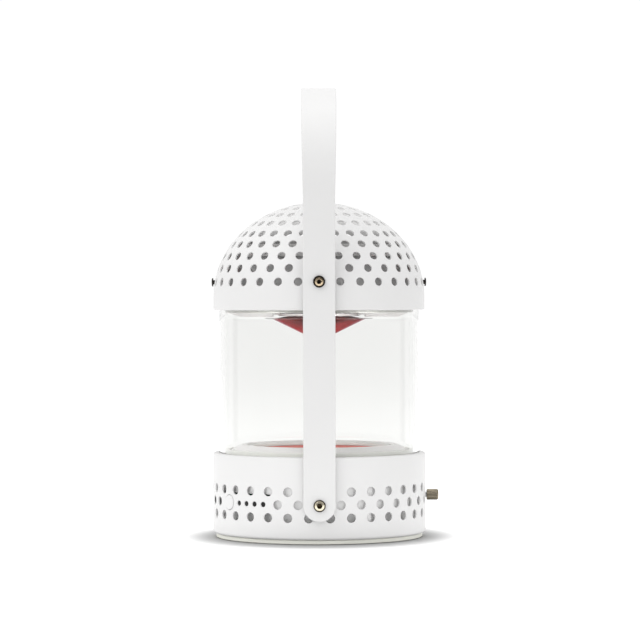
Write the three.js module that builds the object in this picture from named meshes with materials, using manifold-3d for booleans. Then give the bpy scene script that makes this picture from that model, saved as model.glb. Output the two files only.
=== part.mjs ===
// A portable lantern: a perforated domed cap and a perforated drum base, joined by a glass chimney and by one
// flat strap that runs up the front, over the top as a carrying handle, and down the back. The base holds an
// upward-facing loudspeaker with a lamp at its centre, two lithium cells and the electronics; a mirrored cone
// hangs from the cap and spreads the light and the sound sideways.
//
// Units are millimetres, +Z is up, and the origin is the centre of the foot pad's underside. The front is -Y.
// An azimuth is measured from the front, positive towards +X, so the control knob is at +90 degrees.
import * as THREE from 'three';
import { mergeVertices } from 'three/addons/utils/BufferGeometryUtils.js';
import Module from 'manifold-3d';

const wasm = await Module();
wasm.setup();

// ---------------------------------------------------------------- driving dimensions

const GAP = 0.1; // between fixed pieces that bear on each other

const BASE_RADIUS = 63.5;
const SHELL_WALL = 1.2;
const SHELL_BOTTOM = 2.6;
const SHELL_TOP = 50.3;

const VENT_PITCH = 11.25; // degrees between neighbouring vents in a row of 32
const BASE_VENT_RADIUS = 2.6;
const DOME_VENT_RADIUS = 2.4;
const VENT_ROW_LOW = 15.1;
const VENT_ROW_MIDDLE = 22.7;
const VENT_ROW_HIGH = 30.2;

const GLASS_RADIUS = 59.5;
const GLASS_WALL = 3;
const GLASS_BOTTOM = 49;
const GLASS_TOP = 137;

const DOME_RADIUS = 63;
const DOME_WALL = 1.2;
const DOME_BOTTOM = 135.1;
const DOME_SPRING = 143.3; // where the cylindrical rim turns into the dome
const DOME_RISE = 55.9;

const STRAP_WIDTH = 18.6;
const STRAP_THICKNESS = 3;
const STRAP_FLARE = 0.115; // how much wider the strap is at the crown
const STRAP_INSIDE = 64; // from the axis to the inner face of each leg
const STRAP_OUTSIDE = STRAP_INSIDE + STRAP_THICKNESS;
const STRAP_SPRING = 200.3; // where the legs turn into the semicircular handle

const BASE_SCREW_HEIGHT = VENT_ROW_MIDDLE;
const DOME_SCREW_HEIGHT = 151.66; // level with the lowest row of vents in the dome

const KNOB_HEIGHT = 24.6;
const BUTTON_AZIMUTH = -56.25;
const BUTTON_RADIUS = 4.3;
const JACK_AZIMUTH = -76.5;
const LIGHTS_AZIMUTH = -39.4; // middle of the four status lights
const LIGHTS_PITCH = 5.55;
const LIGHT_HOLE_RADIUS = 1.5;

const BOARD_AZIMUTH = -49; // the control board behind the button and the status lights
const BOARD_DISTANCE = 53.4;
const BOARD_THICKNESS = 1.4;

const DIAPHRAGM_RADIUS = 40.2;
const COIL_RADIUS = 12.2;

// ---------------------------------------------------------------- materials

const finish = (color, roughness, metalness = 0, opacity = 1) =>
  new THREE.MeshStandardMaterial({ color, roughness, metalness, opacity, transparent: opacity < 1 });

const PAINT = finish(0xf3f3f0, 0.45);
const WHITE_PLASTIC = finish(0xeeeeea, 0.5);
const SILICONE = finish(0xdcdccf, 0.6);
const CLEAR_SILICONE = finish(0xd9dacd, 0.4, 0, 0.6);
const GLASS = finish(0xf4f8f6, 0.03, 0, 0.2);
const STEEL = finish(0xb9b4aa, 0.2, 1);
const NICKEL = finish(0x8d8570, 0.3, 1);
const ZINC = finish(0x9a9a98, 0.35, 1);
const FERRITE = finish(0x3a3a3c, 0.7);
const BLACK_PLASTIC = finish(0x1c1c1e, 0.45);
const GREY_RUBBER = finish(0x6f716f, 0.7);
const RED_PAPER = finish(0xb0342c, 0.75);
const COPPER = finish(0xb06a3c, 0.35, 1);
const BOARD_GREEN = finish(0x2f6a48, 0.5);
const BATTERY_BLUE = finish(0x3a6fa5, 0.4);
const ROSE_MIRROR = finish(0xb4574f, 0.06, 1);
const LIGHT_YELLOW = finish(0xf2dc8a, 0.3);
const CLEAR_PLASTIC = finish(0xffffff, 0.05, 0, 0.3);

// ---------------------------------------------------------------- solids

const radians = THREE.MathUtils.degToRad;
const turn = (azimuth) => new THREE.Matrix4().makeRotationZ(radians(azimuth));

// A closed three.js geometry as a solid that can be joined and cut.
function solid(geometry) {
  const bare = geometry.index ? geometry.toNonIndexed() : geometry.clone();
  bare.deleteAttribute('normal');
  bare.deleteAttribute('uv');
  const merged = mergeVertices(bare, 1e-4);
  return new wasm.Manifold(
    new wasm.Mesh({
      numProp: 3,
      vertProperties: merged.attributes.position.array,
      triVerts: new Uint32Array(merged.index.array),
    }),
  );
}

// A solid's faces as a three.js geometry, flat shaded.
function geometryOf(body) {
  const faces = body.getMesh();
  const shared = new THREE.BufferGeometry();
  shared.setAttribute('position', new THREE.BufferAttribute(faces.vertProperties, 3));
  shared.setIndex(new THREE.BufferAttribute(faces.triVerts, 1));
  const flat = shared.toNonIndexed();
  flat.computeVertexNormals();
  return flat;
}

const join = (bodies) => bodies.reduce((sum, body) => sum.add(body));
const cut = (body, cutters) => cutters.reduce((rest, cutter) => rest.subtract(cutter), body);

// A solid of revolution about Z from a profile of [radius, height] points. A profile that leaves the axis
// closes on itself and makes a ring.
function revolve(profile, sides) {
  const closed = profile[0][0] > 0 ? [...profile, profile[0]] : profile;
  const area = closed.slice(1).reduce((sum, [r, z], i) => sum + closed[i][0] * z - r * closed[i][1], 0);
  const outward = area > 0 ? closed : [...closed].reverse();
  const points = outward.map(([r, z]) => new THREE.Vector2(r, z));
  return solid(new THREE.LatheGeometry(points, sides).rotateX(Math.PI / 2));
}

// The [radius, height] points of an arc, from one angle to another in degrees.
const arc = (centreR, centreZ, radius, from, to, steps) =>
  Array.from({ length: steps + 1 }, (_, i) => {
    const angle = radians(from + ((to - from) * i) / steps);
    return [centreR + radius * Math.cos(angle), centreZ + radius * Math.sin(angle)];
  });

const disc = (radius, bottom, top, sides) =>
  revolve([[0, bottom], [radius, bottom], [radius, top], [0, top]], sides);

const ring = (inner, outer, bottom, top, sides) =>
  revolve([[inner, bottom], [outer, bottom], [outer, top], [inner, top]], sides);

const block = (x0, x1, y0, y1, z0, z1) =>
  solid(new THREE.BoxGeometry(x1 - x0, y1 - y0, z1 - z0)
    .translate((x0 + x1) / 2, (y0 + y1) / 2, (z0 + z1) / 2));

// Turns a solid made on the front, about the line x = 0, round to an azimuth.
const swing = (body, azimuth) => body.transform(turn(azimuth).elements);

const QUARTERS = [0, 90, 180, 270];

// A [y, z] shape extruded across the line x = 0.
function acrossX(shape, width) {
  const sideways = new THREE.Matrix4().makeBasis(
    new THREE.Vector3(0, 1, 0), new THREE.Vector3(0, 0, 1), new THREE.Vector3(1, 0, 0));
  const bar = new THREE.ExtrudeGeometry(shape, { depth: width, bevelEnabled: false, curveSegments: 24 });
  return solid(bar.translate(0, 0, -width / 2).applyMatrix4(sideways));
}

// A solid of revolution about a horizontal line that points outwards at an azimuth and height. The profile is
// [radius, distance from the Z axis] points.
function radial(profile, azimuth, height, sides) {
  const outwards = new THREE.Matrix4().makeRotationX(Math.PI / 2);
  const place = turn(azimuth).multiply(new THREE.Matrix4().makeTranslation(0, 0, height)).multiply(outwards);
  return revolve(profile, sides).transform(place.elements);
}

const radialPin = (radius, from, to, azimuth, height, sides) =>
  radial([[0, from], [radius, from], [radius, to], [0, to]], azimuth, height, sides);

// ---------------------------------------------------------------- fasteners

// A button-head socket screw's profile, with the head's seat at distance `seat` and its shank going inwards.
const screwProfile = (head, height, shank, seat, length) => [
  [0, seat - length],
  [shank, seat - length],
  [shank, seat],
  [head, seat],
  [head, seat + height * 0.45],
  [head * 0.66, seat + height],
  [head * 0.36, seat + height],
  [head * 0.36, seat + height * 0.3],
  [0, seat + height * 0.3],
];

const M4_HEAD = 3.5;
const M4_HEIGHT = 2.1;
const M4_SHANK = 1.75;
const M4_CLEARANCE = 2.2;
const M4_TAPPED = 1.95;
const VISIBLE_SCREW_SIDES = 12;
const HIDDEN_SCREW_SIDES = 8;

const strapScrew = (azimuth, height, length) =>
  radial(screwProfile(M4_HEAD, M4_HEIGHT, M4_SHANK, STRAP_OUTSIDE + GAP, length), azimuth, height,
    VISIBLE_SCREW_SIDES);

// The cap's side screws are smaller, M3 by 8 mm.
const M3_HEAD = 2.6;
const M3_HEIGHT = 1;
const M3_SHANK = 1.3;
const M3_CLEARANCE = 1.7;
const M3_TAPPED = 1.5;
const M3_LENGTH = 8;
const sideScrew = (azimuth) =>
  radial(screwProfile(M3_HEAD, M3_HEIGHT, M3_SHANK, DOME_RADIUS + GAP, M3_LENGTH), azimuth, DOME_SCREW_HEIGHT,
    VISIBLE_SCREW_SIDES);

// ---------------------------------------------------------------- base: shell, foot and frame

const SHELL_INSIDE = BASE_RADIUS - SHELL_WALL;
const SHELL_LIP = 60; // the turned-in lip round the glass
const SHELL_SIDES = 32;
const JACK_HOLE_RADIUS = 2.6;
const TURNED_IN = 1.6; // how far the shell's rounded lower edge turns in

function ventAzimuths(count, half) {
  const pitch = 360 / count;
  return Array.from({ length: count }, (_, i) => (i + (half ? 0.5 : 0)) * pitch);
}

// Six sides with the area of a circle of the radius asked for.
const HEXAGON = 1.0996;

function baseShell() {
  const body = revolve([
    [BASE_RADIUS - TURNED_IN, SHELL_BOTTOM],
    [BASE_RADIUS - 0.5, SHELL_BOTTOM + 0.5],
    [BASE_RADIUS, SHELL_BOTTOM + TURNED_IN],
    [BASE_RADIUS, SHELL_TOP - 0.6],
    [BASE_RADIUS - 0.6, SHELL_TOP],
    [SHELL_LIP, SHELL_TOP],
    [SHELL_LIP, SHELL_TOP - 2],
    [SHELL_INSIDE, SHELL_TOP - 2],
    [SHELL_INSIDE, SHELL_BOTTOM + TURNED_IN],
    [BASE_RADIUS - TURNED_IN, SHELL_BOTTOM + 0.9],
  ], SHELL_SIDES);
  const through = (radius, azimuth, height, sides) => radialPin(radius, 58, 68, azimuth, height, sides);
  const vent = (azimuth, height) => through(BASE_VENT_RADIUS * HEXAGON, azimuth, height, 6);
  const taken = [0, 90, 180, 281.25, 303.75, 315, 326.25]; // screws, knob, socket, button and lights
  const middle = ventAzimuths(32, false).filter((azimuth) => !taken.includes(azimuth));
  return cut(body, [
    ...ventAzimuths(32, true).map((azimuth) => vent(azimuth, VENT_ROW_LOW)),
    ...middle.map((azimuth) => vent(azimuth, VENT_ROW_MIDDLE)),
    ...ventAzimuths(32, true).map((azimuth) => vent(azimuth, VENT_ROW_HIGH)),
    ...LIGHT_AZIMUTHS.map((azimuth) => through(LIGHT_HOLE_RADIUS, azimuth, VENT_ROW_MIDDLE, 8)),
    ...[0, 180].map((azimuth) => through(M4_CLEARANCE, azimuth, BASE_SCREW_HEIGHT, 12)),
    through(BUTTON_RADIUS + 0.3, BUTTON_AZIMUTH, VENT_ROW_MIDDLE, 20),
    through(JACK_HOLE_RADIUS, JACK_AZIMUTH, VENT_ROW_MIDDLE, 12),
    through(2.2, 90, KNOB_HEIGHT, 12),
  ]);
}

const FOOT_RADIUS = 61.5;
const footPad = () =>
  revolve([[0, 0], [FOOT_RADIUS - 0.7, 0], [FOOT_RADIUS, 0.7], [FOOT_RADIUS, SHELL_BOTTOM - GAP],
    [0, SHELL_BOTTOM - GAP]], 40);

const BOTTOM_SCREWS = [28.125, 148.125, 268.125];
const BOTTOM_SCREW_DISTANCE = 58.2;
const PLATE_TOP = 5.6;
const PLATE_RADIUS = 61.4;

// A cylinder standing at an azimuth and a distance from the axis.
const post = (radius, bottom, top, azimuth, distance, sides) =>
  swing(disc(radius, bottom, top, sides).translate([0, -distance, 0]), azimuth);

function bottomPlate() {
  const screwHoles = BOTTOM_SCREWS.flatMap((azimuth) => [
    post(1.7, 0, 10, azimuth, BOTTOM_SCREW_DISTANCE, 8),
    post(2.6, 0, SHELL_BOTTOM + 1.9, azimuth, BOTTOM_SCREW_DISTANCE, 8),
  ]);
  return cut(disc(PLATE_RADIUS, SHELL_BOTTOM, PLATE_TOP, 32), screwHoles);
}

function bottomScrew(azimuth) {
  const seat = SHELL_BOTTOM + 1.8;
  const profile = [[0, seat - 1.5], [2.3, seat - 1.5], [2.3, seat], [1.2, seat], [1.2, 14], [0, 14]];
  return swing(revolve(profile, HIDDEN_SCREW_SIDES).translate([0, -BOTTOM_SCREW_DISTANCE, 0]), azimuth);
}

const FRAME_INSIDE = 55.2;
const FRAME_OUTSIDE = 58;
const FRAME_BOTTOM = PLATE_TOP + GAP;
const FRAME_STEP = 18.4; // above here the wall stands close behind the upper two rows of vents
const FRAME_UPPER_INSIDE = 58.9;
const FRAME_UPPER_OUTSIDE = 60.9;
const DECK_BOTTOM = 45;

function baseFrame() {
  const wall = revolve([
    [FRAME_INSIDE, FRAME_BOTTOM],
    [FRAME_OUTSIDE, FRAME_BOTTOM],
    [FRAME_OUTSIDE, FRAME_STEP],
    [FRAME_UPPER_OUTSIDE, FRAME_STEP + 1.2],
    [FRAME_UPPER_OUTSIDE, DECK_BOTTOM - GAP],
    [FRAME_UPPER_INSIDE, DECK_BOTTOM - GAP],
    [FRAME_UPPER_INSIDE, FRAME_STEP + 2.4],
    [FRAME_INSIDE, FRAME_STEP + 1.4],
  ], 24);
  const strapBoss = block(-5, 5, -61, -FRAME_INSIDE - 1, 17, 28.4);
  const bosses = [
    strapBoss,
    swing(strapBoss, 180),
    ...BOTTOM_SCREWS.map((azimuth) => post(2.9, FRAME_BOTTOM, 19, azimuth, BOTTOM_SCREW_DISTANCE, 10)),
  ];
  // One long window for the jack, the push button and the status lights, and one for the dimmer's shaft.
  const window = (azimuth, half, low = 17, high = 28.4) =>
    swing(block(-half, half, -62, -50, low, high), azimuth);
  return cut(join([wall, ...bosses]), [
    ...[0, 180].map((azimuth) => radialPin(M4_TAPPED, 50, 64, azimuth, BASE_SCREW_HEIGHT, 12)),
    ...BOTTOM_SCREWS.map((azimuth) => post(1.5, 0, 16, azimuth, BOTTOM_SCREW_DISTANCE, 8)),
    window(JACK_AZIMUTH, 5),
    window(-62, 12),
    window(LIGHTS_AZIMUTH, 12),
    window(90, 7, 16, 33),
  ]);
}

// ---------------------------------------------------------------- base: power and electronics

const CELL_RADIUS = 9.2;
const CELL_LENGTH = 65;
const CELL_OFFSET = 32.5;
const TRAY_TOP = 12.2;
const CELL_HEIGHT = TRAY_TOP + GAP + CELL_RADIUS;

function batteryCell(side) {
  const half = CELL_LENGTH / 2;
  const can = [[0, -half], [CELL_RADIUS, -half], [CELL_RADIUS, half - 1.5], [3, half - 1.5], [3, half],
    [0, half]];
  const lying = new THREE.Matrix4().makeTranslation(0, side * CELL_OFFSET, CELL_HEIGHT)
    .multiply(new THREE.Matrix4().makeRotationY((side * Math.PI) / 2));
  return revolve(can, 16).transform(lying.elements);
}

function batteryTray() {
  const plate = ring(25, 52, TRAY_TOP - 1, TRAY_TOP, 20);
  const stop = (x, y) => block(x - 0.8, x + 0.8, y - 5, y + 5, TRAY_TOP - 0.5, 24);
  const stops = [-34, 34].flatMap((x) => [-32.5, 32.5].map((y) => stop(x, y)));
  return cut(join([plate, ...stops]), [block(20, 60, -8, 8, 0, 20)]);
}

function mainBoard() {
  const top = 7.8;
  const chips = [
    [-30, -8, 6, 6, 2.4], // amplifier
    [-12, 24, 5, 4, 1.4], // charge controller
    [14, 26, 8, 6, 1.8], // radio module
    [30, -18, 4, 4, 3], // inductor
    [-8, -28, 5, 3, 2.6], // battery connector
    [36, 0, 2, 4, 2.6], // speaker connector
  ];
  const parts = chips.map(([x, y, halfX, halfY, height]) =>
    block(x - halfX, x + halfX, y - halfY, y + halfY, top - 0.4, top + height));
  return join([disc(50, top - 1.6, top, 24), ...parts]);
}

const controlBoard = () =>
  swing(block(-17.5, 17.5, -BOARD_DISTANCE - BOARD_THICKNESS, -BOARD_DISTANCE, 17.5, 27.9), BOARD_AZIMUTH);

// The charging socket: a barrel with a centre pin.
const chargingJack = () =>
  radial([[0, 49], [3.4, 49], [3.4, 61.6], [1.95, 61.6], [1.95, 53], [0.5, 53], [0.5, 59.5], [0, 60]],
    JACK_AZIMUTH, VENT_ROW_MIDDLE, 12);

// The tactile switch stands on the control board, which is turned a little from the button's own azimuth.
function powerSwitch() {
  const face = BOARD_DISTANCE + BOARD_THICKNESS + GAP;
  const middle = face * Math.tan(radians(BUTTON_AZIMUTH - BOARD_AZIMUTH));
  const body = block(middle - 3, middle + 3, -face - 2, -face, VENT_ROW_MIDDLE - 3, VENT_ROW_MIDDLE + 3);
  const plunger = radialPin(1.7, face + 1, 59.2, BUTTON_AZIMUTH - BOARD_AZIMUTH, VENT_ROW_MIDDLE, 10);
  return swing(body.add(plunger), BOARD_AZIMUTH);
}

const powerButton = () =>
  radial([[0, 60], [BUTTON_RADIUS + 0.8, 60], [BUTTON_RADIUS + 0.8, 61.3], [BUTTON_RADIUS, 61.3],
    [BUTTON_RADIUS, 63.4], [BUTTON_RADIUS - 0.5, 63.9], [0, 64.1]],
  BUTTON_AZIMUTH, VENT_ROW_MIDDLE, 20);

const LIGHT_AZIMUTHS = [-1.5, -0.5, 0.5, 1.5].map((step) => LIGHTS_AZIMUTH + step * LIGHTS_PITCH);

// One moulded bar behind the shell with a pin into each of the four light holes.
function statusLightPipe() {
  const bar = swing(
    block(-10.5, 10.5, -59.4, -57.4, VENT_ROW_MIDDLE - 1.7, VENT_ROW_MIDDLE + 1.7), LIGHTS_AZIMUTH);
  const pin = (azimuth) => radialPin(LIGHT_HOLE_RADIUS - 0.15, 58.5, 63.3, azimuth, VENT_ROW_MIDDLE, 8);
  return join([bar, ...LIGHT_AZIMUTHS.map(pin)]);
}

// ---------------------------------------------------------------- base: rotary control

const KNOB_RADIUS = 3.3;
const KNOB_INNER = BASE_RADIUS + 0.5;
const KNOB_OUTER = 71.2;
const SHAFT_RADIUS = 1.5;

const knobAt = (profile, sides) => radial(profile, 90, KNOB_HEIGHT, sides);

const controlKnob = () =>
  knobAt([[1.7, KNOB_INNER], [KNOB_RADIUS, KNOB_INNER], [KNOB_RADIUS, KNOB_OUTER - 0.5],
    [KNOB_RADIUS - 0.5, KNOB_OUTER], [0, KNOB_OUTER], [0, 69.2], [1.7, 69.2]], 24);

const controlShaft = () => knobAt([[0, 53.5], [SHAFT_RADIUS, 53.5], [SHAFT_RADIUS, 69], [0, 69]], 12);

function dimmerPot() {
  const body = swing(block(-4.8, 4.8, -52.4, -46, KNOB_HEIGHT - 4.8, KNOB_HEIGHT + 4.8), 90);
  const bushing = knobAt([[0, 51], [3, 51], [3, 60.8], [0, 60.8]], 12);
  return body.add(bushing).subtract(knobAt([[0, 53], [1.9, 53], [1.9, 64], [0, 64]], 12));
}

const dimmerBoard = () => swing(block(-8, 8, -45.9, -44.4, 13, 34), 90);

// ---------------------------------------------------------------- deck, trim and gaskets

const DECK_TOP = 51.5;
const DRIVER_FLANGE = 50.2;
const FLANGE_BOTTOM = 48.3;

const DECK_RADIUS = 61.8;
const deck = () =>
  revolve([[45, DECK_BOTTOM], [DECK_RADIUS, DECK_BOTTOM], [DECK_RADIUS, 48.1], [53.7, 48.1], [53.7, DECK_TOP],
    [DRIVER_FLANGE + 0.3, DECK_TOP], [DRIVER_FLANGE + 0.3, FLANGE_BOTTOM - GAP],
    [45, FLANGE_BOTTOM - GAP],
  ], 32);

const TRIM_TOP = 55;
const trimRing = () =>
  revolve([
    [43.3, DECK_TOP + 0.2], [51.6, DECK_TOP + 0.2], [51.6, 52.6], [46.8, TRIM_TOP], [43.3, TRIM_TOP],
  ], 40);

const GASKET_INSIDE = 54;
const GASKET_OUTSIDE = 59.3;
const GLASS_INSIDE = GLASS_RADIUS - GLASS_WALL;

const lowerGasket = () =>
  revolve([[GASKET_INSIDE, 48.3], [GASKET_OUTSIDE, 48.3], [GASKET_OUTSIDE, GLASS_BOTTOM - GAP],
    [GLASS_INSIDE - 0.3, GLASS_BOTTOM - GAP], [GLASS_INSIDE - 0.3, 52.4], [GASKET_INSIDE, 52.4]], 32);

const upperGasket = () =>
  revolve([[GASKET_INSIDE, 133.6], [GLASS_INSIDE - 0.3, 133.6], [GLASS_INSIDE - 0.3, GLASS_TOP + GAP],
    [GASKET_OUTSIDE, GLASS_TOP + GAP], [GASKET_OUTSIDE, GLASS_TOP + 0.7], [GASKET_INSIDE, GLASS_TOP + 0.7],
  ], 32);

const glassChimney = () => ring(GLASS_INSIDE, GLASS_RADIUS, GLASS_BOTTOM, GLASS_TOP, 40);

// ---------------------------------------------------------------- loudspeaker

const DRIVER_SIDES = 16;
const BASKET_SIDES = 16;
const CONE_SIDES = 24;

const driverYoke = () =>
  revolve([[4.2, 14], [21, 14], [21, 17.5], [11, 17.5], [11, 31], [4.2, 31]], DRIVER_SIDES);

const driverMagnet = () => ring(14, 22, 17.6, 27, DRIVER_SIDES);
const driverTopPlate = () => ring(12.7, 22, 27.1, 30.6, DRIVER_SIDES);
const voiceCoil = () => ring(COIL_RADIUS - 0.7, COIL_RADIUS, 26, 40, DRIVER_SIDES);

function driverBasket() {
  const bowl = revolve([
    [13.2, 30.7], [28, 30.7], [44.2, 45.5], [44.2, FLANGE_BOTTOM], [DRIVER_FLANGE, FLANGE_BOTTOM],
    [DRIVER_FLANGE, 50.1], [43, 50.1], [42.4, 46.4], [28.6, 35.8], [26.6, 32.2], [13.2, 32.2],
  ], BASKET_SIDES);
  const window = block(-11, 11, -42, -28, 36.6, 44.6);
  return cut(bowl, [45, 135, 225, 315].map((azimuth) => swing(window, azimuth)));
}

// A paper cone with a flat rim that the surround is glued to.
const diaphragm = () =>
  revolve([
    [COIL_RADIUS + GAP, 38.4], [24, 43.8], [38.2, 51.5], [DIAPHRAGM_RADIUS, 51.5],
    [DIAPHRAGM_RADIUS, 52.2], [38, 52.2], [24, 44.8], [COIL_RADIUS + GAP, 39.4],
  ], CONE_SIDES);

// A half-roll surround with a flat outer lip on the basket's flange.
function surround() {
  const middle = 40.8;
  const foot = 52.4;
  return revolve([
    [46.4, 50.2],
    [46.4, 51],
    [43, 51],
    ...arc(middle, foot, 2.2, 0, 180, 3),
    ...arc(middle, foot, 1.5, 180, 0, 3),
    [42.3, 50.2],
  ], CONE_SIDES);
}

const centringSpider = () => ring(COIL_RADIUS + GAP, 28.4, 35.9, 36.5, DRIVER_SIDES);

// ---------------------------------------------------------------- lamp at the centre of the loudspeaker

const lampPost = () =>
  revolve([[0, 12.6], [3.6, 12.6], [3.6, 31.2], [9.5, 31.2], [9.5, 43], [6.4, 50], [0, 50]], 16);

const lampBoard = () => disc(6, 50.1, 51.1, 16);
const lampLens = () => revolve([[0, 51.2], [4.2, 51.2], [3.6, 52.4], [1.9, 53.1], [0, 53.3]], 16);

// ---------------------------------------------------------------- cap: ring, bridge, cone and deflector

const RING_BOTTOM = 137.8;
const RING_TOP = 141.8;
const HUB_RADIUS = 14;
const CONE_SCREW_HOLE = 2.1;
const CONE_RADIUS = 27.7;
const CONE_TIP = 116.4;

function topRing() {
  const rim = ring(52, 61.3, RING_BOTTOM, RING_TOP, 32);
  const hub = disc(HUB_RADIUS, RING_BOTTOM, RING_TOP, 16);
  const spoke = block(-3.5, 3.5, -54, 0, RING_BOTTOM, RING_TOP);
  const lug = block(-5, 5, -59, -55.4, RING_TOP - 1, 155);
  const tapped = (azimuth) =>
    radialPin(azimuth % 180 ? M3_TAPPED : M4_TAPPED, 50, 64, azimuth, DOME_SCREW_HEIGHT, 8);
  const arms = QUARTERS.flatMap((azimuth) => [swing(spoke, azimuth + 45), swing(lug, azimuth)]);
  return cut(join([rim, hub, ...arms]), [disc(CONE_SCREW_HOLE, 130, 150, 8), ...QUARTERS.map(tapped)]);
}

// The cone, the bridge, a black washer and a spacer hang in that order on one screw from the top ring's hub.
const CONE_TOP = 131.3;
const BRIDGE_HUB_BOTTOM = 131.5;
const BRIDGE_HUB_TOP = 133.05;
const BRIDGE_WIDTH = 14;
const WASHER_BOTTOM = BRIDGE_HUB_TOP + GAP;
const WASHER_TOP = WASHER_BOTTOM + 0.7;

const coneSpacer = () => ring(CONE_SCREW_HOLE, 23.6, WASHER_TOP + GAP, RING_BOTTOM - GAP, 20);
const coneWasher = () => ring(CONE_SCREW_HOLE, 24, WASHER_BOTTOM, WASHER_TOP, 16);

// Four arms reach from the hub to just inside the glass. Each is thin near the hub and deep beyond it.
function coneBridge() {
  const link = BRIDGE_HUB_TOP - 0.85;
  const [inner, outer] = [27.4, 53];
  const [bottom, top] = [130.9, 134.4];
  const outline = [
    [20, link], [inner, link], [inner, bottom], [46.5, bottom], [outer, bottom + 2.4],
    [outer, top], [inner, top], [inner, BRIDGE_HUB_TOP], [20, BRIDGE_HUB_TOP],
  ];
  const arm = acrossX(new THREE.Shape(outline.map(([r, z]) => new THREE.Vector2(-r, z))), BRIDGE_WIDTH);
  const hub = disc(24.2, BRIDGE_HUB_BOTTOM, BRIDGE_HUB_TOP, 20);
  const arms = QUARTERS.map((azimuth) => swing(arm, azimuth));
  return join([hub, ...arms]).subtract(disc(CONE_SCREW_HOLE, 130, 135, 8));
}

// The clear flange round the mirror's rim.
const coneSkirt = () => ring(CONE_RADIUS + 0.15, 32.2, 129.75, 130.15, 28);

const reflectorCone = () =>
  revolve([[0, CONE_TIP], [1, CONE_TIP + 0.2], [CONE_RADIUS, 129.6], [CONE_RADIUS, 130], [18.6, CONE_TOP],
    [CONE_SCREW_HOLE, CONE_TOP], [CONE_SCREW_HOLE, 122], [0, 122]], 28);

const coneScrew = () =>
  revolve([[0, 123], [M4_SHANK, 123], [M4_SHANK, RING_TOP + GAP], [M4_HEAD, RING_TOP + GAP], [M4_HEAD, 143.4],
    [2.3, 144], [1.25, 144], [1.25, 142.6], [0, 142.6]], HIDDEN_SCREW_SIDES);

// An inverted cup on a hollow stem stands on the hub, and a band on top of it turns the sound out.
const CUP_TOP = 166.5;
const deflector = () =>
  revolve([
    [0, CUP_TOP], [44.5, CUP_TOP], [46.5, CUP_TOP - 2], [46.5, 149], [44.7, 149], [44.7, CUP_TOP - 2.6],
    [9, CUP_TOP - 2.6], [9, RING_TOP + GAP], [5.2, RING_TOP + GAP], [5.2, 145], [0, 145],
  ], 20);

const deflectorBand = () => ring(41, 46.3, CUP_TOP + GAP, 173.8, 20);

// ---------------------------------------------------------------- cap: dome

// Rows of vents from the rim to the crown: how many, and whether the row is turned by half a pitch.
const DOME_ROWS = [
  [32, false], [32, true], [32, false], [32, true], [32, false],
  [28, true], [24, false], [16, true], [12, false], [4, true],
];
const DOME_FIRST_ROW = 8.6; // degrees up the dome's ellipse
const DOME_ROW_STEP = 8.45;

const domePoint = (radius, rise, angle) =>
  [radius * Math.cos(radians(angle)), DOME_SPRING + rise * Math.sin(radians(angle))];

// A vent's cutter stands square to the dome's surface.
function domeVent(row, azimuth) {
  const angle = DOME_FIRST_ROW + row * DOME_ROW_STEP;
  const [r, z] = domePoint(DOME_RADIUS, DOME_RISE, angle);
  const tilt = Math.atan2(Math.sin(radians(angle)) / DOME_RISE, Math.cos(radians(angle)) / DOME_RADIUS);
  const cutter = disc(DOME_VENT_RADIUS * HEXAGON, -DOME_WALL - 2, 2, 6);
  const place = turn(azimuth)
    .multiply(new THREE.Matrix4().makeTranslation(0, -r, z))
    .multiply(new THREE.Matrix4().makeRotationX(Math.PI / 2 - tilt));
  return cutter.transform(place.elements);
}

// The dome's outer or inner skin, solid down to a given height. Its flats are widest where the rows are.
function domeSolid(radius, rise, bottom, rings, sides) {
  const step = (DOME_ROWS.length * DOME_ROW_STEP) / rings;
  const first = DOME_FIRST_ROW - DOME_ROW_STEP / 2;
  const skin = Array.from({ length: rings }, (_, i) => domePoint(radius, rise, first + i * step));
  return revolve([[0, bottom], [radius, bottom], ...skin, [0, DOME_SPRING + rise]], sides);
}

function dome() {
  const outer = domeSolid(DOME_RADIUS, DOME_RISE, DOME_BOTTOM, 10, 32);
  const inner = domeSolid(DOME_RADIUS - DOME_WALL, DOME_RISE - DOME_WALL, DOME_BOTTOM - 1, 5, 32);
  const shell = outer.subtract(inner);
  const vents = DOME_ROWS.flatMap(([count, half], row) =>
    ventAzimuths(count, half)
      .filter((azimuth) => row > 0 || azimuth % 90 !== 0)
      .map((azimuth) => domeVent(row, azimuth)));
  const screwHole = (azimuth) =>
    radialPin(azimuth % 180 ? M3_CLEARANCE : M4_CLEARANCE, 56, 66, azimuth, DOME_SCREW_HEIGHT, 10);
  return cut(shell, [...vents, ...QUARTERS.map(screwHole)]);
}

// ---------------------------------------------------------------- strap

// The handle widens towards its crown.
function flare(point) {
  const rise = Math.max(0, (point[2] - STRAP_SPRING) / STRAP_OUTSIDE);
  point[0] *= 1 + STRAP_FLARE * Math.sin(Math.min(1, rise) * Math.PI / 2);
}

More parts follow.
